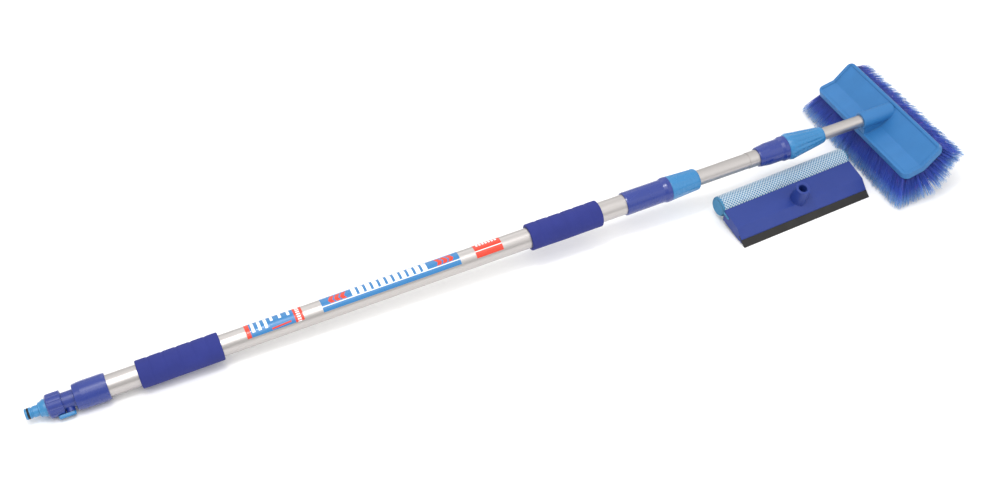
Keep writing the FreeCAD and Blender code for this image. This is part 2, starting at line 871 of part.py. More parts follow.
def make_ferrule():
    """Aluminium ring on the middle tube, where it enters the upper lock."""
    turned("middle_tube_ferrule", [
        ("ferrule_from", "middle_tube_radius + slip"),
        ("ferrule_from", "ferrule_radius"),
        ("ferrule_to", "ferrule_radius"),
        ("ferrule_to", "middle_tube_radius + slip"),
    ])


def make_grips():
    """The two foam grips, as plain sleeves with rounded ends."""
    for name in ("rear", "front"):
        body = turned(f"{name}_foam_grip", [
            (f"{name}_grip_from", "outer_tube_radius + slip"),
            (f"{name}_grip_from", "grip_radius"),
            (f"{name}_grip_to", "grip_radius"),
            (f"{name}_grip_to", "outer_tube_radius + slip"),
        ])
        softened(body, f"{name}_grip_rounding", "grip_round",
                 lambda edge, where=name: rim_at(f"{where}_grip_from", "grip_radius")(edge)
                 or rim_at(f"{where}_grip_to", "grip_radius")(edge))


def make_labels():
    """Printed films wrapped over the top of the outer tube."""
    for name in ("instruction", "range", "small"):
        label = f"{name}_label"
        body = new_body(label)
        sketch = polygon(body, "XZ_Plane", f"{label}_outline", [
            (f"{label}_from", "label_under"),
            (f"{label}_from", "label_over"),
            (f"{label}_to", "label_over"),
            (f"{label}_to", "label_under"),
        ])
        film = feature(body, "Revolution", f"{label}_film", sketch)
        film.ReferenceAxis = (sketch, ["H_Axis"])
        bind(film, "Angle", "label_wrap")
        film.Midplane = True
        doc.recompute()


def lock_outline(name, tube, inside):
    """The inner half of a lock body's outline: neck, clamping cone, bore, shoulder and socket."""
    return [
        (f"{name}_lock_rim_to", f"{name}_lock_neck_radius"),
        (f"{name}_lock_neck_to", f"{name}_lock_neck_radius"),
        (f"{name}_lock_neck_to", f"{name}_lock_cone_large"),
        (f"{name}_lock_cone_from", f"{name}_lock_cone_small"),
        (f"{name}_lock_cone_from", f"{inside}_tube_radius + play"),
        (f"{name}_lock_shoulder", f"{inside}_tube_radius + play"),
        (f"{name}_lock_shoulder", f"{tube}_tube_radius + slip"),
        (f"{name}_lock_from", f"{tube}_tube_radius + slip"),
    ]


def make_lower_lock_body():
    """Sleeve on the end of the outer tube, flaring to a rim below the nut."""
    turned("lower_lock_body", [
        ("lower_lock_from", "lower_lock_lip_radius"),
        ("lower_lock_from + lower_lock_lip", "lower_lock_radius"),
        ("lower_lock_waist", "lower_lock_waist_radius"),
        ("lower_lock_flare", "lower_lock_rim_radius"),
        ("lower_lock_rim_to", "lower_lock_rim_radius"),
    ] + lock_outline("lower", "outer", "middle"))


def make_upper_lock_body():
    """Sleeve on the end of the middle tube, swelling to a rim below the nut."""
    turned("upper_lock_body", [
        ("upper_lock_from", "upper_lock_lip_radius"),
        ("upper_lock_from + upper_lock_lip", "upper_lock_start_radius"),
        ("upper_lock_swell", "upper_lock_radius"),
        ("upper_lock_waist", "upper_lock_radius"),
        ("upper_lock_flare", "upper_lock_rim_radius"),
        ("upper_lock_rim_to", "upper_lock_rim_radius"),
    ] + lock_outline("upper", "middle", "inner"))


def make_collet(name, inside):
    """Slotted clamping ring that the nut presses into the lock body's cone."""
    body = turned(f"{name}_lock_collet", [
        (f"{name}_collet_from", f"{inside}_tube_radius + slip"),
        (f"{name}_collet_from", f"{name}_collet_small"),
        (f"{name}_collet_flange_from - play", f"{name}_collet_large"),
        (f"{name}_collet_flange_from", f"{name}_collet_flange_radius"),
        (f"{name}_collet_to", f"{name}_collet_flange_radius"),
        (f"{name}_collet_to", f"{inside}_tube_radius + slip"),
    ])
    slot = new_rectangle(body, "XY_Plane", f"{name}_collet_slot", f"{name}_collet_from",
                         "axis_zero", "lower_collet_flange_from - lower_collet_from",
                         "collet_slot_width")
    cut = pocketed(body, f"{name}_collet_slot_cut", slot, "upper_nut_crest_radius", backwards=True)
    around_pole(body, cut, COLLET_SLOT_COUNT, f"{name}_collet_slots")


def make_lower_lock_nut():
    """Tapered clamping nut of the lower lock."""
    body = turned("lower_lock_nut", [
        ("lower_nut_from", "lower_lock_neck_radius + slip"),
        ("lower_nut_from", "lower_nut_large - edge"),
        ("lower_nut_from + edge", "lower_nut_large"),
        ("lower_nut_to - round_off", "lower_nut_small"),
        ("lower_nut_to", "lower_nut_small - round_off"),
        ("lower_nut_to", "middle_tube_radius + play"),
        ("lower_nut_inner_to", "middle_tube_radius + play"),
        ("lower_nut_inner_to", "lower_lock_neck_radius + slip"),
    ])


def make_upper_lock_nut():
    """Longer tapered clamping nut of the upper lock."""
    body = turned("upper_lock_nut", [
        ("upper_nut_from", "upper_lock_neck_radius + slip"),
        ("upper_nut_from", "upper_nut_start_radius"),
        ("upper_nut_crest", "upper_nut_crest_radius"),
        ("upper_nut_taper_to", "upper_nut_taper_radius"),
        ("upper_nut_to", "upper_nut_end_radius"),
        ("upper_nut_to", "inner_tube_radius + play"),
        ("upper_nut_inner_to", "inner_tube_radius + play"),
        ("upper_nut_inner_to", "upper_lock_neck_radius + slip"),
    ])


def make_piston(name, tube, outside):
    """Guide on a tube's hidden end, with a groove for its sealing ring."""
    turned(f"{name}_piston", [
        (f"{name}_piston_from", f"{name}_piston_bore"),
        (f"{name}_piston_from", f"{outside}_tube_bore - slip"),
        (f"{name}_ring_from", f"{outside}_tube_bore - slip"),
        (f"{name}_ring_from", f"{name}_ring_floor"),
        (f"{name}_ring_to", f"{name}_ring_floor"),
        (f"{name}_ring_to", f"{outside}_tube_bore - slip"),
        (f"{name}_piston_to", f"{outside}_tube_bore - slip"),
        (f"{name}_piston_to", f"{tube}_tube_radius + slip"),
        (f"{name}_piston_step", f"{tube}_tube_radius + slip"),
        (f"{name}_piston_step", f"{name}_piston_bore"),
    ])


def make_head_plug():
    """Plug in the end of the inner tube, with the nose that carries a head."""
    turned("head_plug", [
        ("head_plug_from", "head_plug_bore"),
        ("head_plug_from", "head_plug_body_radius"),
        ("inner_tube_to", "head_plug_body_radius"),
        ("head_plug_shelf", "head_plug_nose_radius"),
        ("head_ring_from", "head_plug_nose_radius"),
        ("head_ring_from", "head_ring_floor"),
        ("head_ring_to", "head_ring_floor"),
        ("head_ring_to", "head_plug_nose_radius"),
        ("head_plug_to - edge", "head_plug_nose_radius"),
        ("head_plug_to", "head_plug_nose_radius - edge"),
        ("head_plug_to", "head_plug_bore"),
    ])


def lies_across(edge, half_length):
    """Whether a straight edge lies whole in one of the block's two end planes."""
    return all(abs(abs(vertex.Y) - number(half_length)) < 1e-3 for vertex in edge.Vertexes)


def is_corner(edge, half_length, ends):
    """Whether an edge is one of the short upright corners named by their station pairs."""
    if len(edge.Vertexes) != 2 or not lies_across(edge, half_length):
        return False
    stations = sorted(vertex.X for vertex in edge.Vertexes)
    return any(abs(stations[0] - low) < 1e-2 and abs(stations[1] - high) < 1e-2
               for low, high in ends)


def make_brush_block():
    """Two shallow wings with a dished top, a boss for the pole, and a water way to the bristles."""
    body = new_body("brush_block")
    wings = polygon(body, "XZ_Plane", "wings", [
        ("near_rim", "near_rim_height"),
        ("valley", "valley_height"),
        ("far_rim", "far_rim_height"),
        ("far_under", "far_under_height"),
        ("valley_under", "valley_under_height"),
        ("near_under", "near_under_height"),
    ])
    padded(body, "wings_pad", wings, "block_half_length + block_half_length", both_ways=True)
    corners = [(SIZES["near_rim"], SIZES["near_under"]), (SIZES["far_rim"], SIZES["far_under"])]
    softened(body, "block_corners", "block_corner",
             lambda edge: is_corner(edge, "block_half_length", corners))
    dish = polygon(body, "XZ_Plane", "dish", [
        ("dish_near", "dish_near_height"),
        ("dish_valley", "dish_valley_height"),
        ("dish_far", "dish_far_height"),
        ("dish_far_top", "dish_far_top_height"),
        ("dish_near_top", "dish_near_top_height"),
    ])
    pocketed(body, "dish_cut", dish, "dish_half_length + dish_half_length", both_ways=True)
    softened(body, "rim_rounding", "rim_round", is_rim_edge)
    web = polygon(body, "XZ_Plane", "boss_web", [
        ("boss_web_from", "boss_web_floor"),
        ("valley", "boss_web_floor"),
        ("boss_to - round_off", "axis_zero"),
        ("boss_web_from", "axis_zero"),
    ])
    padded(body, "boss_web_pad", web, "boss_web_half_width + boss_web_half_width", both_ways=True)
    boss = polygon(body, "XZ_Plane", "boss_outline", [
        ("boss_from", "axis_zero"),
        ("boss_from", "boss_radius - edge"),
        ("boss_from + edge", "boss_radius"),
        ("boss_to - boss_round", "boss_radius"),
        ("boss_to", "boss_radius - boss_round"),
        ("boss_to", "axis_zero"),
    ])
    barrel = feature(body, "Revolution", "boss", boss)
    barrel.ReferenceAxis = (boss, ["H_Axis"])
    barrel.Angle = 360.0
    doc.recompute()
    under = polygon(body, "XZ_Plane", "underside", [
        ("near_under", "near_under_height"),
        ("valley_under", "valley_under_height"),
        ("far_under", "far_under_height"),
        ("far_under", "cut_floor"),
        ("near_under", "cut_floor"),
    ])
    pocketed(body, "underside_cut", under, "boss_radius + boss_radius", both_ways=True)
    bored(body, "boss_bore", [
        ("boss_from", "axis_zero"),
        ("boss_from", "inner_tube_radius + slip"),
        ("boss_socket_to", "inner_tube_radius + slip"),
        ("boss_socket_to", "boss_bore_radius"),
        ("boss_bore_to", "boss_bore_radius"),
        ("boss_bore_to", "axis_zero"),
    ])
    way = circle(body, "XY_Plane", "spray_hole", "spray_station", "axis_zero",
                 "spray_hole_radius")
    pocketed(body, "spray_hole_cut", way, "block_half_length")
    must_span(body, 2 * SIZES["block_half_length"])


def must_span(body, width):
    """Stop when a cut has taken away more than it should across the pole."""
    if abs(body.Shape.BoundBox.YLength - width) > 0.1:
        raise ValueError(f"{body.Label} is {body.Shape.BoundBox.YLength:.1f} mm wide, not {width:.1f}")


def is_rim_edge(edge):
    """Whether an edge bounds the flat top of the block's rim."""
    box = edge.BoundBox
    middle = Vector(box.XMin + box.XMax, 0, box.ZMin + box.ZMax) * 0.5
    return abs(height_over_wings(middle)) < 1.5 and not runs_down(edge)


def height_over_wings(point):
    """Height of a point above the two straight top lines of the wings, square to them."""
    near = Vector(SIZES["near_rim"], 0, SIZES["near_rim_height"])
    low = Vector(SIZES["valley"], 0, SIZES["valley_height"])
    far = Vector(SIZES["far_rim"], 0, SIZES["far_rim_height"])
    start, end = (near, low) if point.x < low.x else (low, far)
    along = (end - start).normalize()
    normal = Vector(-along.z, 0, along.x)
    return (point - start).dot(normal)


def runs_down(edge):
    """Whether an edge's two ends lie at different heights over the wings."""
    heights = [height_over_wings(vertex.Point) for vertex in edge.Vertexes]
    return max(heights) - min(heights) > 0.4


def make_spray_nozzle():
    """Insert in the block's water way, with one jet between the bristles."""
    body = new_body("spray_nozzle")
    stalk = circle(body, "XY_Plane", "nozzle_stalk", "spray_station", "axis_zero",
                   "spray_hole_radius - slip")
    set_back(stalk, "axis_zero - spray_top")
    padded(body, "nozzle_stalk_pad", stalk, "spray_top - spray_bottom", backwards=True)
    jet = circle(body, "XY_Plane", "nozzle_jet", "spray_station", "axis_zero", "spray_jet_radius")
    pocketed(body, "nozzle_jet_cut", jet, "block_half_length")


def make_bristles():
    """The bristle fields under the two wings, as blocks that widen towards the tips."""
    wings = {"near": ("near_under", "valley_under"), "far": ("valley_under", "far_under")}
    for name, (start, end) in wings.items():
        block = doc.addObject("Part::Wedge", f"{name}_bristles")
        block.Label = f"{name}_bristles"
        for prop, words in (("Xmin", f"{name}_root_from"), ("Xmax", f"{name}_root_to"),
                            ("X2min", f"{name}_tip_from"), ("X2max", f"{name}_tip_to"),
                            ("Ymin", "bristle_gap"), ("Ymax", f"{name}_bristle_length"),
                            ("Zmin", "axis_zero - bristle_root_half"),
                            ("Zmax", "bristle_root_half"),
                            ("Z2min", f"axis_zero - {name}_tip_half"),
                            ("Z2max", f"{name}_tip_half")):
            bind(block, prop, words)
        doc.recompute()
        origin = Vector(SIZES[start], 0, SIZES[f"{start}_height"])
        along = (Vector(SIZES[end], 0, SIZES[f"{end}_height"]) - origin).normalize()
        out = Vector(along.z, 0, -along.x)
        turn = Rotation(along, out, along.cross(out), "XYZ")
        block.Placement = pole_placement().multiply(Placement(origin, turn))
        parts[f"{name}_bristles"] = block


def make_squeegee_body():
    """Folded plate with a socket for the pole, a slot for the blade and one for the sponge."""
    body = new_body("squeegee_body")
    section = polygon(body, "YZ_Plane", "plate_section", [
        ("plate_front", "plate_front_height"),
        ("plate_fold", "plate_top_height"),
        ("plate_back", "plate_top_height"),
        ("plate_heel", "plate_heel_height"),
        ("plate_keel", "plate_keel_height"),
        ("plate_toe", "plate_toe_height"),
    ])
    padded(body, "plate_pad", section, "squeegee_half + squeegee_half", both_ways=True)
    socket = circle(body, "XY_Plane", "socket", "axis_zero", "socket_station", "socket_radius")
    tower = padded(body, "socket_pad", socket, "socket_height")
    bind(tower, "TaperAngle", "axis_zero - socket_taper")
    foot = circle(body, "XY_Plane", "socket_foot", "axis_zero", "socket_station", "socket_radius")
    padded(body, "socket_foot_pad", foot, "axis_zero - socket_below", backwards=True)
    softened(body, "socket_rounding", "socket_round",
             lambda edge: isinstance(edge.Curve, Part.Circle)
             and abs(edge.Curve.Center.z - SIZES["socket_height"]) < 1e-3)
    slot = polygon(body, "YZ_Plane", "tongue_slot", [
        ("tongue_front - tongue_gap", "tongue_under - tongue_gap"),
        ("tongue_back", "tongue_under - tongue_gap"),
        ("tongue_back", "tongue_over + tongue_gap"),
        ("tongue_front - tongue_gap", "tongue_over + tongue_gap"),
    ])
    pocketed(body, "tongue_slot_cut", slot, both_ways=True)
    cradle = circle(body, "YZ_Plane", "cradle", "sponge_station", "sponge_height",
                    "cradle_radius")
    pocketed(body, "cradle_cut", cradle, both_ways=True)
    blade_slot = polygon(body, "YZ_Plane", "blade_slot", blade_outline())
    pocketed(body, "blade_slot_cut", blade_slot, both_ways=True)
    trim_underside(body)
    hollow_underside(body)
    bore = circle(body, "XY_Plane", "socket_bore_circle", "axis_zero", "socket_station",
                  "socket_bore")
    set_back(bore, "axis_zero - socket_floor")
    pocketed(body, "socket_bore_cut", bore, "socket_height", backwards=True)
    add_lead_in(body)


def add_lead_in(body):
    """Chamfer the mouth of the socket's bore."""
    base = body.Tip
    mouth = [f"Edge{i}" for i, edge in enumerate(base.Shape.Edges, start=1)
             if isinstance(edge.Curve, Part.Circle)
             and abs(edge.Curve.Radius - SIZES["socket_bore"]) < 1e-3
             and abs(edge.Curve.Center.z - SIZES["socket_height"]) < 1e-3]
    chamfer = body.newObject("PartDesign::Chamfer", "socket_lead_in_cut")
    chamfer.Base = (base, mouth)
    bind(chamfer, "Size", "socket_lead_in")
    must_remove(body, chamfer)


def blade_outline():
    """Section of the rubber blade: a strip with a bevelled tip."""
    return [
        ("blade_tip", "blade_tip_height"),
        ("blade_root", "blade_root_height"),
        ("blade_back", "blade_back_height"),
        ("blade_under", "blade_under_height"),
    ]


def trim_underside(body):
    """Cut the socket's foot level with the ground that the head lies on."""
    slope = math.tan(math.radians(SIZES["squeegee_tilt"]))
    sketch = empty_sketch(body, "YZ_Plane", "ground_trim")
    front, back, below = SIZES["trim_front"], SIZES["trim_back"], SIZES["trim_below"]
    corners = [Vector(front, -front * slope, 0), Vector(back, -back * slope, 0),
               Vector(back, below, 0), Vector(front, below, 0)]
    heights = ["-Sizes.trim_front * tan(Sizes.squeegee_tilt)",
               "-Sizes.trim_back * tan(Sizes.squeegee_tilt)",
               "Sizes.trim_below", "Sizes.trim_below"]
    for index in range(4):
        sketch.addGeometry(Part.LineSegment(corners[index], corners[(index + 1) % 4]), False)
    for index in range(4):
        sketch.addConstraint(Sketcher.Constraint("Coincident", index, 2, (index + 1) % 4, 1))
    for index, corner in enumerate(corners):
        across = "Sizes.trim_front" if index in (0, 3) else "Sizes.trim_back"
        for kind, size, rule in (("DistanceX", corner.x, across),
                                 ("DistanceY", corner.y, heights[index])):
            row = sketch.addConstraint(Sketcher.Constraint(kind, -1, 1, index, 1, size))
            sketch.setExpression(f"Constraints[{row}]", rule)
    pocketed(body, "ground_trim_cut", sketch, both_ways=True)


def hollow_underside(body):
    """Two open hollows under the plate, one each side of the socket."""
    cavity = polygon(body, "YZ_Plane", "cavity", [
        ("cavity_front", "cavity_below"),
        ("cavity_front", "cavity_front_height"),
        ("cavity_step", "cavity_step_height"),
        ("cavity_step", "cavity_low_height"),
        ("cavity_back", "cavity_low_height"),
        ("cavity_back", "cavity_below"),
    ])
    set_back(cavity, "squeegee_half - cavity_wall")
    cut = pocketed(body, "cavity_cut", cavity, "squeegee_half - cavity_wall - cavity_rib",
                   backwards=True)
    mirror = body.newObject("PartDesign::Mirrored", "cavities")
    mirror.Originals = [cut]
    mirror.MirrorPlane = (origin_feature(body, "YZ_Plane"), [""])
    body.Tip = mirror
    doc.recompute()


def make_squeegee_blade():
    """Rubber blade gripped by the plate's front edge."""
    body = new_body("squeegee_blade")
    strip = polygon(body, "YZ_Plane", "blade_section", blade_outline())
    padded(body, "blade_pad", strip, "squeegee_half + squeegee_half", both_ways=True)


def make_sponge_roll():
    """Foam roll with a flat tongue that is held in the plate."""
    body = new_body("sponge_roll")
    roll = circle(body, "YZ_Plane", "roll_circle", "sponge_station", "sponge_height",
                  "sponge_radius")
    length = "squeegee_half + squeegee_half - sponge_end_trim"
    padded(body, "roll_pad", roll, length, both_ways=True)
    tongue = polygon(body, "YZ_Plane", "tongue", [
        ("tongue_front", "tongue_under"),
        ("tongue_back", "tongue_under"),
        ("tongue_back", "tongue_over"),
        ("tongue_front", "tongue_over"),
    ])
    padded(body, "tongue_pad", tongue, length, both_ways=True)


def make_sponge_net():
    """Thin net sleeve round the foam roll, open where the tongue passes."""
    body = new_body("sponge_net")
    sleeve = circle(body, "YZ_Plane", "net_circle", "sponge_station", "sponge_height", "net_over")
    length = "squeegee_half + squeegee_half - net_end_trim"
    padded(body, "net_pad", sleeve, length, both_ways=True)
    inside = circle(body, "YZ_Plane", "net_inside", "sponge_station", "sponge_height",
                    "net_under")
    pocketed(body, "net_inside_cut", inside, both_ways=True)
    gap = polygon(body, "YZ_Plane", "net_gap", [
        ("tongue_front", "tongue_under - play"),
        ("tongue_back", "tongue_under - play"),
        ("tongue_back", "tongue_over + play"),
        ("tongue_front", "tongue_over + play"),
    ])
    pocketed(body, "net_gap_cut", gap, both_ways=True)


def place_parts(rings):
    """Lay each sub-part where it belongs in the part's frame."""
    pole = pole_placement()
    on_stem = {"valve_body", "valve_seat_front", "valve_seat_rear", "valve_ball", "valve_stem",
               "valve_lever", "lever_screw"}
    on_head = {"squeegee_body", "squeegee_blade", "sponge_roll", "sponge_net"}
    across = Rotation(Vector(0, 1, 0), 90)
    for label, item in parts.items():
        if label in rings:
            spot = Placement(Vector(rings[label], 0, 0), across)
            item.Placement = pole.multiply(spot)
        elif label == "stem_o_ring":
            spot = Placement(Vector(SIZES["valve_station"], 0, -SIZES["stem_ring_depth"]),
                             Rotation())
            item.Placement = stem_placement().multiply(spot)
        elif label in on_stem:
            item.Placement = stem_placement()
        elif label in on_head:
            item.Placement = squeegee_placement()
        elif not label.endswith("_bristles"):
            item.Placement = pole


def build():
    """Make every sub-part and place it."""
    fill_sheet()
    make_hose_tail()
    make_hose_washer()
    make_hose_nut()
    make_valve_body()
    make_valve_seats()
    make_valve_ball()
    make_valve_stem()
    make_stem_ring()
    make_valve_lever()
    make_lever_screw()
    make_end_sleeve()
    make_end_plug()
    make_tubes()
    make_ferrule()
    make_grips()
    make_labels()
    make_lower_lock_body()
    make_upper_lock_body()
    make_collet("lower", "middle")
    make_collet("upper", "inner")
    make_lower_lock_nut()
    make_upper_lock_nut()
    make_piston("middle", "middle", "outer")
    make_piston("upper", "inner", "middle")
    make_head_plug()
    make_brush_block()
    make_spray_nozzle()
    make_bristles()
    make_squeegee_body()
    make_squeegee_blade()
    make_sponge_roll()
    make_sponge_net()
    rings = {}
    for name, label in (("nose", "hose_tail_o_ring"), ("plug", "end_plug_o_ring"),
                        ("middle", "middle_piston_o_ring"), ("upper", "upper_piston_o_ring"),
                        ("head", "head_plug_o_ring")):
        ring, station = seal_ring(label, f"{name}_ring_station", f"{name}_ring_mid_radius",
                                  f"{name}_ring_wire")
        rings[label] = station
    place_parts(rings)
    doc.recompute()


def check():
    """Stop on any failed object or bad shape."""
    for item in doc.Objects:
        if "Invalid" in item.State or "Error" in item.State:
            raise RuntimeError(f"{item.Label} is {item.State}")
    for label, item in parts.items():
        if item.Shape.isNull() or not item.Shape.isValid():
            raise RuntimeError(f"{label} has a bad shape")


def export():
    """Write one STEP file for each sub-part."""
    os.makedirs("parts", exist_ok=True)
    whole = FreeCAD.BoundBox()
    for label, item in sorted(parts.items()):
        item.Shape.exportStep(f"parts/{label}.step")
        whole.add(item.Shape.BoundBox)
        print(f"{label}: {item.Shape.Volume / 1000:.2f} cm3, {item.Shape.BoundBox}")
    print(f"whole box: {whole}")


build()
check()
export()
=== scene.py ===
"""Looks of the telescopic window cleaning pole and its squeegee head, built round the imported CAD.

Lengths are in metres. Two working frames are used: the pole's own frame, with X along the tubes
from the hose end and Z up from its axis, and the squeegee head's frame, with X along its blade and
Z along its socket.
"""

import json
import math
import random

import bpy
from mathutils import Matrix, Vector


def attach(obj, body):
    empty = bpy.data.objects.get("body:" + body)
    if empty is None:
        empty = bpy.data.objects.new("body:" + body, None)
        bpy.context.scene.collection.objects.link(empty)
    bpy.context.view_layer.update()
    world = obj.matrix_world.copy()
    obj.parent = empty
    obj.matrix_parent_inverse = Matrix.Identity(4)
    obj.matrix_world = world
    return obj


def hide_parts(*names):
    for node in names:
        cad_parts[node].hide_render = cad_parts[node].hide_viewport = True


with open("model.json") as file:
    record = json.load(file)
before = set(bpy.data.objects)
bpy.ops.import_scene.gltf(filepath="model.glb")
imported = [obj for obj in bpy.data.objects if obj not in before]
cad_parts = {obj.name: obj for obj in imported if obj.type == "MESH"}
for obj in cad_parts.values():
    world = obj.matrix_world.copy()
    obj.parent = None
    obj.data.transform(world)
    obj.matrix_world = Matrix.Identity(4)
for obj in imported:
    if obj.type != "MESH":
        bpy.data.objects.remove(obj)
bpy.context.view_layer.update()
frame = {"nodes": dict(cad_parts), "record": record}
nodes = frame["nodes"]
record = frame["record"]
MM = 0.001
UP = Vector((0, 0, 1))
joints = {joint["name"]: joint for joint in record["behaviour"]["joints"]}
mounts = {mount["name"]: mount for mount in record["mounts"]}


def matrix_from(origin, along, up):
    """A frame with X along one direction and Z as near as possible to another."""
    x = along.normalized()
    y = up.cross(x).normalized()
    z = x.cross(y)
    turn = Matrix((x, y, z)).transposed().to_4x4()
    return Matrix.Translation(origin) @ turn


def pole_frame():
    """The pole's frame, with station 0 at the mouth of the hose tail."""
    joint = joints["hose_nut_turn"]
    axis = Vector(joint["axis"])
    at_joint = matrix_from(Vector(joint["pos_m"]), axis, UP)
    tail = [(at_joint.inverted() @ v.co).x for v in nodes["hose_tail"].data.vertices]
    return at_joint @ Matrix.Translation((min(tail), 0, 0))


def head_frame():
    """The squeegee head's frame, with its origin at the socket's mount."""
    mount = mounts["squeegee_socket"]
    normal = Vector(mount["axis"])
    along = Vector((-normal.y, normal.x, 0))
    return matrix_from(Vector(mount["pos_m"]), along, normal)


POLE = pole_frame()
HEAD = head_frame()


def points_of(node, space):
    """A node's points in one of the working frames."""
    back = space.inverted()
    return [back @ v.co for v in nodes[node].data.vertices]


def stations(node):
    """First station, last station and largest radius of a node on the pole's axis."""
    points = points_of(node, POLE)
    xs = [p.x for p in points]
    return min(xs), max(xs), max(math.hypot(p.y, p.z) for p in points)


# ---------------------------------------------------------------- materials


class Paint:
    """A material under construction, with short calls for the nodes that it needs."""

    def __init__(self, name):
        self.material = bpy.data.materials.new(name)
        self.material.use_nodes = True
        self.tree = self.material.node_tree
        self.tree.nodes.clear()
        self.output = self.tree.nodes.new("ShaderNodeOutputMaterial")
        self.shader = self.tree.nodes.new("ShaderNodeBsdfPrincipled")
        self.tree.links.new(self.shader.outputs[0], self.output.inputs[0])

    def feed(self, socket, value):
        """Link a socket to another, or give it a constant."""
        if isinstance(value, bpy.types.NodeSocket):
            self.tree.links.new(value, socket)
        else:
            socket.default_value = value

    def set(self, **values):
        """Set inputs of the main shader by name, with _ for a space."""
        for name, value in values.items():
            self.feed(self.shader.inputs[name.replace("_", " ")], value)

    def node(self, kind, *inputs, output=0, **settings):
        """A node with its settings and its first inputs, returning one output."""
        made = self.tree.nodes.new(f"ShaderNode{kind}")
        for name, value in settings.items():
            setattr(made, name, value)
        for socket, value in zip(made.inputs, inputs):
            if value is not None:
                self.feed(socket, value)
        return made.outputs[output]

    def math(self, operation, *inputs):
        """A maths node."""
        return self.node("Math", *inputs, operation=operation)

    def place(self, scale=(1, 1, 1)):
        """The object's own position, scaled by axis."""
        where = self.node("TexCoord", output=3)
        return self.node("VectorMath", where, scale, operation="MULTIPLY")

    def noise(self, scale, detail=3.0, stretch=(1, 1, 1), place=None):
        """Noise, 0 to 1, over the object's own position."""
        made = self.tree.nodes.new("ShaderNodeTexNoise")
        self.feed(made.inputs["Vector"], place or self.place(stretch))
        made.inputs["Scale"].default_value = scale
        made.inputs["Detail"].default_value = detail
        return made.outputs[0]

    def span(self, value, low, high, to_low, to_high):
        """Carry a value from one range to another, clamped."""
        made = self.tree.nodes.new("ShaderNodeMapRange")
        for index, item in enumerate((value, low, high, to_low, to_high)):
            self.feed(made.inputs[index], item)
        return made.outputs[0]

    def blend(self, amount, first, second):
        """Mix two colours."""
        made = self.tree.nodes.new("ShaderNodeMix")
        made.data_type = "RGBA"
        self.feed(made.inputs[0], amount)
        self.feed(made.inputs[6], first)
        self.feed(made.inputs[7], second)
        return made.outputs[2]

    def bump(self, height, strength, distance, edge=0.0):
        """Bump the main shader's normal, over softened edges when asked."""
        made = self.tree.nodes.new("ShaderNodeBump")
        made.inputs["Strength"].default_value = strength
        made.inputs["Distance"].default_value = distance
        self.feed(made.inputs["Height"], height)
        if edge:
            soft = self.tree.nodes.new("ShaderNodeBevel")
            soft.samples = 6
            soft.inputs["Radius"].default_value = edge
            self.tree.links.new(soft.outputs[0], made.inputs["Normal"])
        self.tree.links.new(made.outputs[0], self.shader.inputs["Normal"])

    def along_pole(self, space):
        """Station along the pole, in millimetres, and angle round it from the top, in degrees."""
        where = self.node("TexCoord", output=3)
        back = space.inverted()
        rows = []
        for row in range(3):
            axis = tuple(back[row][:3])
            spot = self.node("VectorMath", where, axis, operation="DOT_PRODUCT", output=1)
            rows.append(self.math("ADD", spot, back[row][3]))
        angle = self.math("ARCTAN2", self.math("MULTIPLY", rows[1], -1.0), rows[2])
        return self.math("MULTIPLY", rows[0], 1000.0), self.math("DEGREES", angle)

    def between(self, value, low, high):
        """1 where a value lies between two limits, else 0."""
        above = self.math("GREATER_THAN", value, low)
        below = self.math("LESS_THAN", value, high)
        return self.math("MULTIPLY", above, below)


def colour(red, green, blue):
    """A screen colour of 0 to 255 as linear light."""
    def linear(level):
        level = level / 255
        return level / 12.92 if level <= 0.04045 else ((level + 0.055) / 1.055) ** 2.4
    return (linear(red), linear(green), linear(blue), 1.0)


def toned(base, gain, lift=0.0):
    """A colour made darker or paler."""
    return tuple(min(1.0, level * gain + lift) for level in base[:3]) + (1.0,)


def moulded(name, base, rough, edge=0.0006, coat=0.0, grain=900.0):
    """Moulded plastic: a fine grain, faint flow marks and slightly uneven shine."""
    paint = Paint(name)
    flow = paint.noise(14.0, 2.0, (1, 2.5, 2.5))
    dark = toned(base, 0.90)
    light = toned(base, 1.08, 0.004)
    paint.set(Base_Color=paint.blend(flow, dark, light), Coat_Weight=coat, Coat_Roughness=0.15)
    scuff = paint.noise(60.0, 4.0)
    paint.set(Roughness=paint.span(scuff, 0.3, 0.7, rough - 0.05, rough + 0.07))
    paint.set(IOR=1.48)
    paint.bump(paint.noise(grain, 2.0), 0.12, 0.0001, edge)
    return paint.material


def rubber(name, base, rough):
    """Rubber: dark, nearly matt, with a little bloom."""
    paint = Paint(name)
    bloom = paint.noise(45.0, 5.0)
    pale = toned(base, 1.5, 0.006)
    paint.set(Base_Color=paint.blend(paint.span(bloom, 0.45, 0.75, 0.0, 1.0), base, pale))
    paint.set(Roughness=paint.span(bloom, 0.3, 0.7, rough, rough + 0.1))
    paint.bump(paint.noise(1400.0, 3.0), 0.2, 0.0001, 0.0003)
    return paint.material


def drawn_aluminium(name):
    """Satin drawn tube: fine lines along its length and a soft haze."""
    paint = Paint(name)
    station, angle = paint.along_pole(POLE)
    lines = paint.tree.nodes.new("ShaderNodeCombineXYZ")
    paint.feed(lines.inputs[0], paint.math("MULTIPLY", station, 0.004))
    paint.feed(lines.inputs[1], paint.math("MULTIPLY", angle, 0.9))
    streak = paint.noise(2.4, 4.0, place=lines.outputs[0])
    haze = paint.noise(9.0, 3.0)
    paint.set(Base_Color=paint.blend(streak, colour(176, 172, 170), colour(202, 198, 196)))
    paint.set(Metallic=0.92, Anisotropic=0.2)
    paint.set(Roughness=paint.span(haze, 0.3, 0.7, 0.33, 0.38))
    paint.bump(streak, 0.10, 0.00008)
    return paint.material


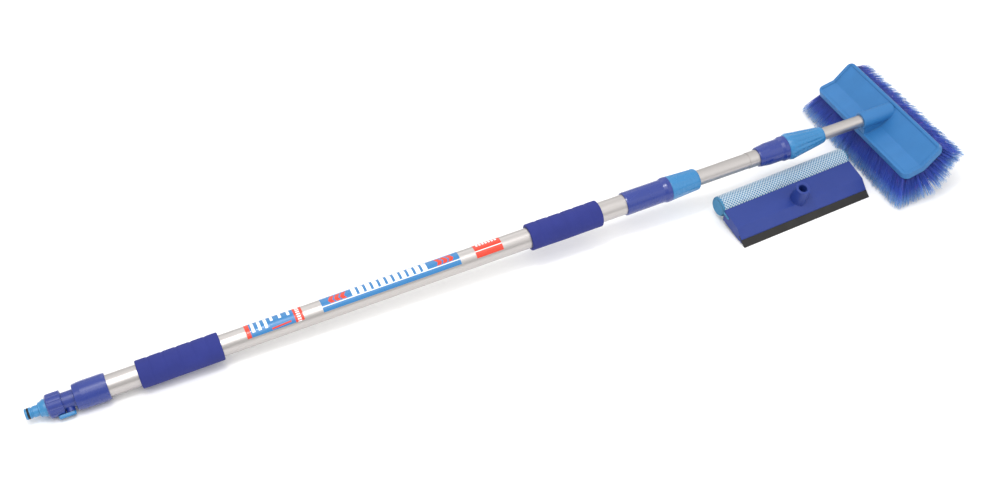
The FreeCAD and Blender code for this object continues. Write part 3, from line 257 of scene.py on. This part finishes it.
def steel(name):
    """Plated screw steel."""
    paint = Paint(name)
    speck = paint.noise(600.0, 3.0)
    paint.set(Base_Color=paint.blend(speck, colour(150, 150, 152), colour(205, 205, 208)))
    paint.set(Metallic=1.0, Roughness=0.32)
    paint.bump(speck, 0.15, 0.0001, 0.0001)
    return paint.material


def closed_cell_foam(name, base):
    """Grip foam: a velvety skin of fine closed cells."""
    paint = Paint(name)
    cells = paint.tree.nodes.new("ShaderNodeTexVoronoi")
    paint.feed(cells.inputs["Vector"], paint.place())
    cells.inputs["Scale"].default_value = 900.0
    wear = paint.noise(35.0, 4.0)
    dark = toned(base, 0.80)
    light = toned(base, 1.12, 0.003)
    paint.set(Base_Color=paint.blend(wear, dark, light), Roughness=0.86)
    paint.set(Sheen_Weight=0.12, Sheen_Roughness=0.5, Sheen_Tint=light)
    paint.bump(cells.outputs[0], 0.45, 0.00035)
    return paint.material


def open_cell_foam(name, base):
    """Sponge: open cells of two sizes, with painted shade darkening their pores."""
    paint = Paint(name)
    pores = paint.tree.nodes.new("ShaderNodeTexVoronoi")
    paint.feed(pores.inputs["Vector"], paint.place())
    pores.inputs["Scale"].default_value = 520.0
    fine = paint.noise(1100.0, 2.0)
    # Painted shade: the colour darkens towards each cell's pore, where shade falls in the foam.
    depth = paint.span(pores.outputs[0], 0.05, 0.45, 0.0, 1.0)
    dark = toned(base, 0.62)
    paint.set(Base_Color=paint.blend(depth, dark, base), Roughness=0.95)
    paint.set(Subsurface_Weight=0.06, Subsurface_Scale=0.004)
    paint.bump(paint.math("ADD", depth, fine), 0.6, 0.0005)
    return paint.material


def net_yarn(name):
    """White knitted yarn."""
    paint = Paint(name)
    fibre = paint.noise(2500.0, 3.0)
    paint.set(Base_Color=paint.blend(fibre, colour(190, 206, 218), colour(222, 231, 238)))
    paint.set(Roughness=0.7, Sheen_Weight=0.2)
    paint.bump(fibre, 0.4, 0.0002)
    return paint.material


def bristle_fibre(name, root, middle, tip):
    """Brush fibre: darker towards its root as painted shade among the tufts, paler and frayed at
    its tip, each one a little different.
    """
    paint = Paint(name)
    along = paint.node("Attribute", attribute_name="along", output=2)
    shade = paint.node("Attribute", attribute_name="shade", output=2)
    # Painted shade: the root colour darkens each fibre towards the block, where shade falls among
    # the tufts.
    lower = paint.blend(paint.span(along, 0.0, 0.5, 0.0, 1.0), root, middle)
    whole = paint.blend(paint.span(along, 0.55, 0.95, 0.0, 1.0), lower, tip)
    dim = paint.blend(0.5, whole, toned(middle, 0.6))
    paint.set(Base_Color=paint.blend(shade, dim, whole), Roughness=0.42)
    paint.set(Subsurface_Weight=0.12, Subsurface_Scale=0.002)
    paint.bump(paint.noise(3000.0, 2.0), 0.1, 0.0001)
    return paint.material


BLUE = colour(40, 120, 180)
ORANGE = colour(216, 54, 24)
WHITE = colour(244, 246, 248)


def film(name):
    """Start a printed film's material with its station and its angle round the tube."""
    paint = Paint(name)
    station, angle = paint.along_pole(POLE)
    return paint, station, angle


def finish_film(paint, printed):
    """Ink on a thin glossy film."""
    speck = paint.noise(700.0, 2.0)
    darker = paint.node("HueSaturation", 0.5, 1.0, 0.93, 1.0, printed)
    paint.set(Base_Color=paint.blend(speck, darker, printed))
    paint.set(Roughness=paint.span(speck, 0.3, 0.7, 0.26, 0.36), Coat_Weight=0.3)
    paint.bump(paint.noise(120.0, 2.0), 0.05, 0.0001)
    return paint.material


def blocks(paint, station, first, pitch, width, count, slant=None):
    """A row of evenly spaced blocks along the pole, leaning with an angle when given."""
    offset = paint.math("SUBTRACT", station, first)
    if slant is not None:
        offset = paint.math("ADD", offset, slant)
    step = paint.math("MODULO", offset, pitch)
    inside = paint.between(offset, 0.0, pitch * count)
    return paint.math("MULTIPLY", inside, paint.math("LESS_THAN", step, width))


def range_film():
    """Long label: blue bands, a white line, a row of plain blocks and pointed orange marks."""
    paint, station, angle = film("range_film")
    start, end, _ = (value * 1000 for value in stations("range_label"))
    ink = BLUE
    row = paint.between(angle, -30.0, 24.0)
    marks = blocks(paint, station, start + 47, 11.0, 7.0, 11)
    ink = paint.blend(paint.math("MULTIPLY", marks, row), ink, WHITE)
    for first, sign in ((start + 11, 1.0), (end - 33, -1.0)):
        lean = paint.math("ABSOLUTE", paint.math("ADD", angle, -4.0))
        lean = paint.math("MULTIPLY", lean, -0.16 * sign)
        arrow = blocks(paint, station, first, 9.0, 6.6, 3, lean)
        arrow = paint.math("MULTIPLY", arrow, paint.between(angle, -26.0, 22.0))
        ink = paint.blend(arrow, ink, ORANGE)
    ink = paint.blend(paint.between(angle, 26.0, 30.5), ink, WHITE)
    return finish_film(paint, ink)


def instruction_film():
    """Short label: orange end bands, upright white bars and a slanting orange bar."""
    paint, station, angle = film("instruction_film")
    start, end, _ = (value * 1000 for value in stations("instruction_label"))
    ink = BLUE
    columns = blocks(paint, station, start + 9.0, 9.6, 4.4, 3)
    columns = paint.math("MULTIPLY", columns, paint.between(angle, -30.0, 34.0))
    ink = paint.blend(columns, ink, WHITE)
    more = blocks(paint, station, start + 38.0, 12.5, 4.0, 3)
    more = paint.math("MULTIPLY", more, paint.between(angle, -46.0, 5.0))
    ink = paint.blend(more, ink, WHITE)
    lean = paint.math("MULTIPLY", paint.math("SUBTRACT", station, start + 40.0), 0.20)
    bar = paint.between(paint.math("ADD", angle, lean), 42.0, 51.0)
    bar = paint.math("MULTIPLY", bar, paint.between(station, start + 37.0, start + 66.0))
    ink = paint.blend(bar, ink, ORANGE)
    ink = paint.blend(paint.math("LESS_THAN", station, start + 6.5), ink, ORANGE)
    ink = paint.blend(paint.math("GREATER_THAN", station, end - 13.0), ink, ORANGE)
    dots = paint.math("MODULO", paint.math("ADD", angle, 90.0), 13.0)
    dots = paint.math("LESS_THAN", dots, 8.0)
    dots = paint.math("MULTIPLY", dots, paint.between(station, end - 9.5, end - 4.0))
    return finish_film(paint, paint.blend(dots, ink, WHITE))


def small_film():
    """Orange label with a white pin-stripe and a row of short white blocks."""
    paint, station, angle = film("small_film")
    start, _, _ = (value * 1000 for value in stations("small_label"))
    ink = paint.blend(paint.between(angle, 18.0, 23.0), ORANGE, WHITE)
    row = blocks(paint, station, start + 5.0, 5.0, 3.2, 7)
    row = paint.math("MULTIPLY", row, paint.between(angle, -30.0, -12.0))
    return finish_film(paint, paint.blend(row, ink, WHITE))


LIGHT_BLUE = moulded("light_blue_plastic", colour(40, 122, 178), 0.26, coat=0.3)
PALE_BLUE = moulded("pale_blue_plastic", colour(50, 128, 180), 0.28, coat=0.3)
DEEP_BLUE = moulded("deep_blue_plastic", colour(30, 52, 134), 0.26, coat=0.3)
PLATE_BLUE = moulded("plate_blue_plastic", colour(28, 53, 132), 0.45, edge=0.0008)
BLOCK_BLUE = moulded("block_blue_plastic", colour(42, 112, 172), 0.48, edge=0.0022, grain=500.0)
WHITE_PLASTIC = moulded("white_plastic", colour(226, 228, 228), 0.45, edge=0.0003)
SEAL = rubber("seal_rubber", colour(26, 26, 28), 0.55)
BLADE = rubber("blade_rubber", colour(23, 22, 21), 0.6)
TUBE = drawn_aluminium("drawn_aluminium")
GRIP = closed_cell_foam("grip_foam", colour(35, 45, 124))
SPONGE = open_cell_foam("sponge_foam", colour(70, 132, 172))
NET = net_yarn("net_yarn")
# The first colour is painted shade at the fibres' roots.
FIBRE = bristle_fibre("bristle_fibre", colour(46, 58, 150), colour(62, 96, 208),
                      colour(138, 192, 244))

CAD_MATERIALS = {
    PALE_BLUE: ("hose_tail",),
    LIGHT_BLUE: ("valve_lever",),
    DEEP_BLUE: ("hose_nut", "valve_body", "end_sleeve", "end_plug", "lower_lock_body",
                "upper_lock_body"),
    PLATE_BLUE: ("squeegee_body",),
    BLOCK_BLUE: ("brush_block",),
    WHITE_PLASTIC: ("valve_seat_front", "valve_seat_rear", "valve_ball", "valve_stem",
                    "lower_lock_collet", "upper_lock_collet", "middle_piston", "upper_piston",
                    "head_plug", "spray_nozzle"),
    SEAL: ("hose_tail_o_ring", "hose_washer", "stem_o_ring", "end_plug_o_ring",
           "middle_piston_o_ring", "upper_piston_o_ring", "head_plug_o_ring"),
    BLADE: ("squeegee_blade",),
    TUBE: ("outer_tube", "middle_tube", "inner_tube", "middle_tube_ferrule"),
    steel("screw_steel"): ("lever_screw",),
    instruction_film(): ("instruction_label",),
    range_film(): ("range_label",),
    small_film(): ("small_label",),
}


def paint_cad():
    """Give every carried-over CAD node its material."""
    for material, names in CAD_MATERIALS.items():
        for name in names:
            mesh = nodes[name].data
            mesh.materials.clear()
            mesh.materials.append(material)


# ---------------------------------------------------------------- pieces


def piece(name, verts, faces, material, space):
    """A mesh object from points in one of the working frames."""
    mesh = bpy.data.meshes.new(name)
    mesh.from_pydata([tuple(space @ Vector(v)) for v in verts], [], faces)
    mesh.materials.append(material)
    mesh.polygons.foreach_set("use_smooth", [True] * len(mesh.polygons))
    mesh.update()
    made = bpy.data.objects.new(name, mesh)
    bpy.context.scene.collection.objects.link(made)
    return made


def wrapped(rings, closed=True):
    """Points and faces of a tube through rings of equal length, joined end to end if closed."""
    verts = [point for ring in rings for point in ring]
    size = len(rings[0])
    count = len(rings)
    faces = []
    for row in range(count if closed else count - 1):
        after = (row + 1) % count
        for column in range(size):
            beside = (column + 1) % size
            faces.append((row * size + column, row * size + beside,
                          after * size + beside, after * size + column))
    return verts, faces


def turned(name, profile, material, segments, shape):
    """A closed body of revolution on the pole's axis, its radii changed by shape(x, r, angle)."""
    rings = []
    for x, radius in profile:
        ring = []
        for index in range(segments):
            angle = math.tau * index / segments
            r = shape(x, radius, angle)
            ring.append((x, r * math.sin(angle), r * math.cos(angle)))
        rings.append(ring)
    verts, faces = wrapped(rings)
    return piece(name, verts, [face[::-1] for face in faces], material, POLE)


def end_drop(inset, end_round):
    """How far a rounded end lies below the full radius, at a distance in from the end."""
    if inset >= end_round:
        return 0.0
    return end_round - math.sqrt(max(0.0, end_round ** 2 - (end_round - inset) ** 2))


def foam_grip(node, seed):
    """Foam sleeve with soft ends and shallow finger waves along its top."""
    first, last, radius = stations(node)
    rng = random.Random(seed)
    inner = stations("outer_tube")[2] + 0.0001
    phases = [rng.uniform(0, math.tau) for _ in range(2)]
    waves, pitch = 5, 0.0206
    dip_share, dip_depth = 0.10, 0.0009
    middle = (first + last) / 2
    profile = [(last - 0.0004, inner), (first + 0.0004, inner)]
    profile += [(first, inner + 0.0006)]
    steps = 150
    for index in range(steps + 1):
        t = index / steps
        x = first + (last - first) * t
        drop = end_drop(min(x - first, last - x), 0.0016)
        profile.append((x, radius - drop))
    profile += [(last, inner + 0.0006)]

    def shape(x, r, angle):
        if r < inner + 0.001:
            return r
        offset = (x - middle) / pitch
        if abs(offset) < waves / 2:
            dip = math.exp(-((offset - round(offset)) / dip_share) ** 2)
        else:
            dip = 0.0
        top = max(0.0, math.cos(angle)) ** 0.7
        sway = 0.00012 * math.sin(angle * 3 + phases[0] + x * 60)
        sway += 0.00010 * math.sin(angle * 5 + phases[1] - x * 90)
        return r - dip_depth * dip * top + sway

    made = turned(f"{node}_skin", profile, GRIP, 96, shape)
    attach(made, "lower_section")
    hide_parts(node)


def lock_nut(node, body, ribs, outline, bore, depth, name):
    """Clamping nut with rounded lengthwise ribs and a wider mouth of the given depth.

    The outline has a share of the nut's length, a radius and a rib height, both in millimetres.
    """
    first, last, _ = stations(node)
    outline = [(share, radius * MM, height * MM) for share, radius, height in outline]
    mouth = bore + 0.004
    profile = []
    steps = 80
    for index in range(steps + 1):
        share = index / steps
        for (s0, r0, h0), (s1, r1, h1) in zip(outline, outline[1:]):
            if s0 <= share <= s1:
                t = (share - s0) / (s1 - s0)
                profile.append((first + (last - first) * share, r0 + (r1 - r0) * t,
                                h0 + (h1 - h0) * t))
                break
    heights = {round(x, 7): h for x, _, h in profile}
    curve = [(x, r) for x, r, _ in profile]
    curve += [(last, bore), (first + depth, bore), (first + depth, mouth), (first, mouth)]

    def shape(x, r, angle):
        if r <= mouth + 0.0001:
            return r
        rib = 0.5 + 0.5 * math.cos(angle * ribs)
        return r - heights.get(round(x, 7), 0.0) * (1.0 - rib ** 0.6)

    made = turned(name, curve, LIGHT_BLUE, ribs * 12, shape)
    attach(made, body)
    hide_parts(node)


def add_nuts():
    """The two clamping nuts."""
    clearance = 0.0002
    upper = [(0.0, 19.6, 0.0), (0.02, 20.1, 0.0), (0.06, 21.1, 0.2), (0.11, 21.9, 0.9),
             (0.30, 19.8, 1.4), (0.60, 17.2, 1.2), (0.86, 14.7, 0.8), (0.93, 14.0, 0.3),
             (0.97, 13.6, 0.1), (1.0, 12.9, 0.0)]
    bore = stations("inner_tube")[2] + clearance
    lock_nut("upper_lock_nut", "upper_clamp", 14, upper, bore, 0.0398, "upper_nut_ribbed")
    lower = [(0.0, 19.0, 0.0), (0.02, 19.6, 0.0), (0.10, 19.5, 0.1), (0.20, 19.3, 0.45),
             (0.84, 17.7, 0.5), (0.93, 17.5, 0.1), (0.96, 17.0, 0.0), (1.0, 15.4, 0.0)]
    bore = stations("middle_tube")[2] + clearance
    lock_nut("lower_lock_nut", "lower_clamp", 12, lower, bore, 0.0387, "lower_nut_ribbed")


class Field:
    """A bristle field's roots, read from its CAD block, and how its fibres fan out from them.

    The fan is given in millimetres at the field's first and last rows: how far a fibre leans along
    the wing, how far the endmost fibre leans sideways, and how long a fibre is.
    """

    def __init__(self, node, lean, sideways, length):
        points = {tuple(round(c, 6) for c in p) for p in points_of(node, POLE)}
        self.half = min(abs(p[1]) for p in points)
        roots = sorted(p for p in points if abs(p[1] - self.half) < 1e-5)
        self.first, self.last = Vector(roots[0]), Vector(roots[-1])
        self.along = (self.last - self.first).normalized()
        self.out = Vector((self.along.z, 0, -self.along.x))
        self.fan = (lean, sideways, length)

    def root(self, across, end):
        """Root by its share across the wing and its place from -1 to 1 along the block."""
        spot = self.first.lerp(self.last, across)
        return Vector((spot.x, end * self.half, spot.z))

    def fibre(self, across, end):
        """From a root to the tip of its fibre."""
        lean, sideways, length = ((low + (high - low) * across) * MM for low, high in self.fan)
        sideways *= end
        depth = math.sqrt(length ** 2 - lean ** 2 - sideways ** 2)
        return self.along * lean + Vector((0, sideways, 0)) + self.out * depth


def bristles(node, field, rows, columns, fibres, seed):
    """Tufts of crimped fibres of one length that fan outwards towards their tips."""
    rng = random.Random(seed)
    verts, faces, along_values, shades = [], [], [], []
    levels, root_spread, tip_spread = 5, 1.4, 4.4
    for row in range(rows):
        for column in range(columns):
            stagger = 0.5 if row % 2 else 0.0
            across = row / (rows - 1)
            end = 2 * (column + 0.25 + stagger) / columns - 1
            tuft = field.fibre(across, end) * rng.uniform(0.965, 1.01)
            tuft += Vector((rng.gauss(0, 0.7), rng.gauss(0, 1.0), 0)) * MM
            tone = rng.uniform(0.30, 1.0)
            for _ in range(fibres):
                spin = rng.uniform(0, math.tau)
                spread = math.sqrt(rng.random())
                circle = Vector((math.cos(spin), math.sin(spin), 0)) * spread
                base = field.root(across, end) + circle * root_spread * MM
                tip = base + tuft * rng.uniform(0.93, 1.0) + circle * tip_spread * MM
                tip += Vector([rng.gauss(0, 0.4) * MM for _ in range(3)])
                bow = Vector([rng.gauss(0, 0.6) * MM for _ in range(3)])
                add_fibre(verts, faces, along_values, base, tip, bow, rng.uniform(0, math.tau),
                          levels, rng.uniform(0.28, 0.38) * MM)
                shades += [min(1.0, max(0.0, tone + rng.uniform(-0.2, 0.2)))] * levels * 3
    made = piece(f"{node}_tufts", verts, faces, FIBRE, POLE)
    for name, values in (("along", along_values), ("shade", shades)):
        layer = made.data.attributes.new(name, "FLOAT", "POINT")
        layer.data.foreach_set("value", values)
    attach(made, "brush_head")
    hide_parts(node)


def add_fibre(verts, faces, along_values, base, tip, bow, crimp, levels, radius):
    """One three-sided fibre from base to tip."""
    direction = (tip - base).normalized()
    side = direction.cross(Vector((0.3, 1.0, 0.2))).normalized()
    other = direction.cross(side)
    start = len(verts)
    for level in range(levels):
        t = level / (levels - 1)
        centre = base.lerp(tip, t) + bow * math.sin(math.pi * t)
        centre += side * math.sin(crimp + t * 9.0) * 0.25 * MM * t
        thick = radius * (1.0 - 0.35 * t)
        for corner in range(3):
            angle = crimp + math.tau * corner / 3
            verts.append(centre + (side * math.cos(angle) + other * math.sin(angle)) * thick)
            along_values.append(t)
    for level in range(levels - 1):
        for corner in range(3):
            beside = (corner + 1) % 3
            low = start + level * 3
            faces.append((low + corner, low + beside, low + 3 + beside, low + 3 + corner))
    top = start + (levels - 1) * 3
    faces.append((top, top + 1, top + 2))


def round_of(node):
    """Centre, radius and half length of a round node lying along the squeegee head."""
    points = points_of(node, HEAD)
    low = Vector([min(p[i] for p in points) for i in range(3)])
    high = Vector([max(p[i] for p in points) for i in range(3)])
    centre = (low + high) / 2
    return centre, (high.z - low.z) / 2, (high.x - low.x) / 2


def sponge():
    """Foam roll with an uneven surface, soft ends and the flat tongue that the plate holds."""
    rng = random.Random(7)
    net_centre, _, _ = round_of("sponge_net")
    points = points_of("sponge_roll", HEAD)
    half = max(p.x for p in points)
    radius = max(p.z for p in points) - net_centre.z
    rings = []
    steps, segments = 120, 72
    phases = [rng.uniform(0, math.tau) for _ in range(2)]
    for index in range(steps + 1):
        x = -half + 2 * half * index / steps
        drop = end_drop(min(x + half, half - x), 0.0015)
        ring = []
        for turn in range(segments):
            angle = math.tau * turn / segments
            lump = 0.00010 * math.sin(3 * angle + phases[0] + x * 70)
            lump += 0.00010 * math.sin(5 * angle + phases[1] - x * 110)
            r = radius - 0.0002 - drop + lump
            ring.append((x, net_centre.y + r * math.sin(angle), net_centre.z + r * math.cos(angle)))
        rings.append(ring)
    verts, faces = wrapped(rings, closed=False)
    faces = [face[::-1] for face in faces]
    for row, sign in ((0, -1), (steps, 1)):
        add_cap(verts, faces, row * segments, segments, sign)
    add_tongue(verts, faces, points, half)
    made = piece("sponge_foam_roll", verts, faces, SPONGE, HEAD)
    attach(made, "squeegee_head")
    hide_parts("sponge_roll")


def add_cap(verts, faces, start, segments, sign):
    """Close a ring with a slightly crowned cap."""
    ring = [Vector(verts[start + i]) for i in range(segments)]
    centre = sum(ring, Vector()) / segments
    previous = list(range(start, start + segments))
    for share, crown in ((0.66, 0.00025), (0.33, 0.0004)):
        first = len(verts)
        for spot in ring:
            moved = centre.lerp(spot, share)
            verts.append((moved.x + sign * crown, moved.y, moved.z))
        current = list(range(first, first + segments))
        for i in range(segments):
            j = (i + 1) % segments
            face = (previous[i], previous[j], current[j], current[i])
            faces.append(face if sign > 0 else face[::-1])
        previous = current
    verts.append((centre.x + sign * 0.00045, centre.y, centre.z))
    top = len(verts) - 1
    for i in range(segments):
        j = (i + 1) % segments
        face = (previous[i], previous[j], top)
        faces.append(face if sign > 0 else face[::-1])


def add_tongue(verts, faces, points, half):
    """The roll's flat tongue, where the CAD node has it."""
    front = min(p.y for p in points)
    low = min(p.z for p in points if p.y < front + 0.001)
    high = max(p.z for p in points if p.y < front + 0.001)
    back = front + 0.018
    start = len(verts)
    section = [(front + 0.0004, low), (back, low), (back, high), (front + 0.0004, high),
               (front, high - 0.0004), (front, low + 0.0004)]
    for x in (-half, half):
        verts += [(x, y, z) for y, z in section]
    count = len(section)
    for i in range(count):
        j = (i + 1) % count
        faces.append((start + i, start + j, start + count + j, start + count + i))
    faces.append(tuple(start + i for i in range(count))[::-1])
    faces.append(tuple(start + count + i for i in range(count)))


def net():
    """Knitted net of crossing yarns round the foam roll."""
    centre, outer, half = round_of("sponge_net")
    yarn = 0.00046
    count = 20
    turns = 2 * half / (math.tau * outer)
    steps = 84
    verts, faces = [], []
    for family, sign in ((0, 1), (1, -1)):
        radius = outer - yarn - 0.00012 * family
        for strand in range(count):
            offset = math.tau * strand / count
            path = []
            for step in range(steps + 1):
                t = step / steps
                angle = offset + sign * turns * math.tau * t
                path.append(Vector((-half + 2 * half * t, centre.y + radius * math.sin(angle),
                                    centre.z + radius * math.cos(angle))))
            add_yarn(verts, faces, path, centre, yarn)
    made = piece("sponge_net_yarns", verts, faces, NET, HEAD)
    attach(made, "squeegee_head")
    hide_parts("sponge_net")


def add_yarn(verts, faces, path, centre, yarn):
    """One four-sided yarn along a path on the roll."""
    start = len(verts)
    for index, spot in enumerate(path):
        ahead = path[min(index + 1, len(path) - 1)]
        behind = path[max(index - 1, 0)]
        direction = (ahead - behind).normalized()
        out = Vector((0, spot.y - centre.y, spot.z - centre.z)).normalized()
        side = direction.cross(out)
        for across, up in ((1, 0), (0, 1), (-1, 0), (0, -1)):
            verts.append(spot + side * across * yarn * 1.25 + out * up * yarn * 0.8)
    for row in range(len(path) - 1):
        for corner in range(4):
            beside = (corner + 1) % 4
            low = start + row * 4
            faces.append((low + corner, low + beside, low + 4 + beside, low + 4 + corner))
    faces.append(tuple(start + i for i in range(4))[::-1])
    top = start + (len(path) - 1) * 4
    faces.append(tuple(top + i for i in range(4)))


# ---------------------------------------------------------------- stage


def add_floor():
    """A wide pale floor."""
    size = 12.0
    mesh = bpy.data.meshes.new("floor")
    mesh.from_pydata([(-size, -size, 0), (size, -size, 0), (size, size, 0), (-size, size, 0)],
                     [], [(0, 1, 2, 3)])
    floor = bpy.data.objects.new("floor", mesh)
    bpy.context.scene.collection.objects.link(floor)
    paint = Paint("floor_paper")
    tooth = paint.noise(60.0, 3.0)
    paint.set(Base_Color=paint.blend(tooth, (0.94, 0.94, 0.94, 1), (0.96, 0.96, 0.96, 1)))
    paint.set(Roughness=0.9)
    paint.bump(tooth, 0.02, 0.0005)
    mesh.materials.append(paint.material)


def add_light(name, spot, aim, size, power):
    """A soft square light."""
    lamp = bpy.data.lights.new(name, "AREA")
    lamp.shape = "SQUARE"
    lamp.size = size
    lamp.energy = power
    made = bpy.data.objects.new(name, lamp)
    made.location = spot
    made.rotation_euler = (Vector(aim) - Vector(spot)).to_track_quat("-Z", "Y").to_euler()
    bpy.context.scene.collection.objects.link(made)


def add_sky():
    """A pale sky, brighter overhead than at the horizon."""
    horizon, overhead, top = 0.55, 1.12, 0.9
    world = bpy.data.worlds.new("studio")
    world.use_nodes = True
    tree = world.node_tree
    sky = tree.nodes["Background"]
    sky.inputs[0].default_value = (1.0, 0.99, 0.98, 1)
    where = tree.nodes.new("ShaderNodeTexCoord")
    parts = tree.nodes.new("ShaderNodeSeparateXYZ")
    rise = tree.nodes.new("ShaderNodeMapRange")
    for index, level in enumerate((0.0, top, horizon, overhead), start=1):
        rise.inputs[index].default_value = level
    tree.links.new(where.outputs["Generated"], parts.inputs[0])
    tree.links.new(parts.outputs[2], rise.inputs[0])
    tree.links.new(rise.outputs[0], sky.inputs[1])
    bpy.context.scene.world = world


def add_camera():
    """The camera, placed in the pole's frame above and in front of the outer tube."""
    place = Vector((0.204483, -1.3280, 1.43723))
    forward = Vector((0.250047, 0.655923, -0.712209))
    right = Vector((0.913199, -0.404212, -0.051775))
    camera = bpy.data.cameras.new("camera")
    camera.sensor_width = 36.0
    camera.lens = 48.53
    camera.clip_end = 50
    made = bpy.data.objects.new("camera", camera)
    turn = Matrix((right, right.cross(forward), -forward)).transposed().to_4x4()
    made.matrix_world = POLE @ Matrix.Translation(place) @ turn
    scene = bpy.context.scene
    scene.collection.objects.link(made)
    scene.camera = made


def add_stage():
    """Floor, soft lights, sky and camera."""
    add_floor()
    add_light("key", (-0.6, -0.9, 3.0), (0.1, 0, 0), 2.4, 34)
    add_light("fill", (1.8, -2.2, 1.8), (0.2, 0, 0), 2.4, 10)
    add_light("rim", (0.2, 2.4, 1.8), (0, 0, 0), 2.0, 10)
    add_light("strip", (-0.5, -0.25, 2.2), (-0.2, 0, 0), 0.30, 9)
    add_sky()
    add_camera()
    bpy.context.scene.view_settings.view_transform = "Standard"


paint_cad()
foam_grip("rear_foam_grip", 11)
foam_grip("front_foam_grip", 12)
add_nuts()
near_fan = Field("near_bristles", (-25.4, 7.0), (21.7, 21.7), (49.0, 49.0))
far_fan = Field("far_bristles", (-8.0, 13.0), (21.7, 13.0), (49.0, 43.0))
bristles("near_bristles", near_fan, 9, 50, 20, 21)
bristles("far_bristles", far_fan, 11, 50, 20, 22)
sponge()
net()
add_stage()
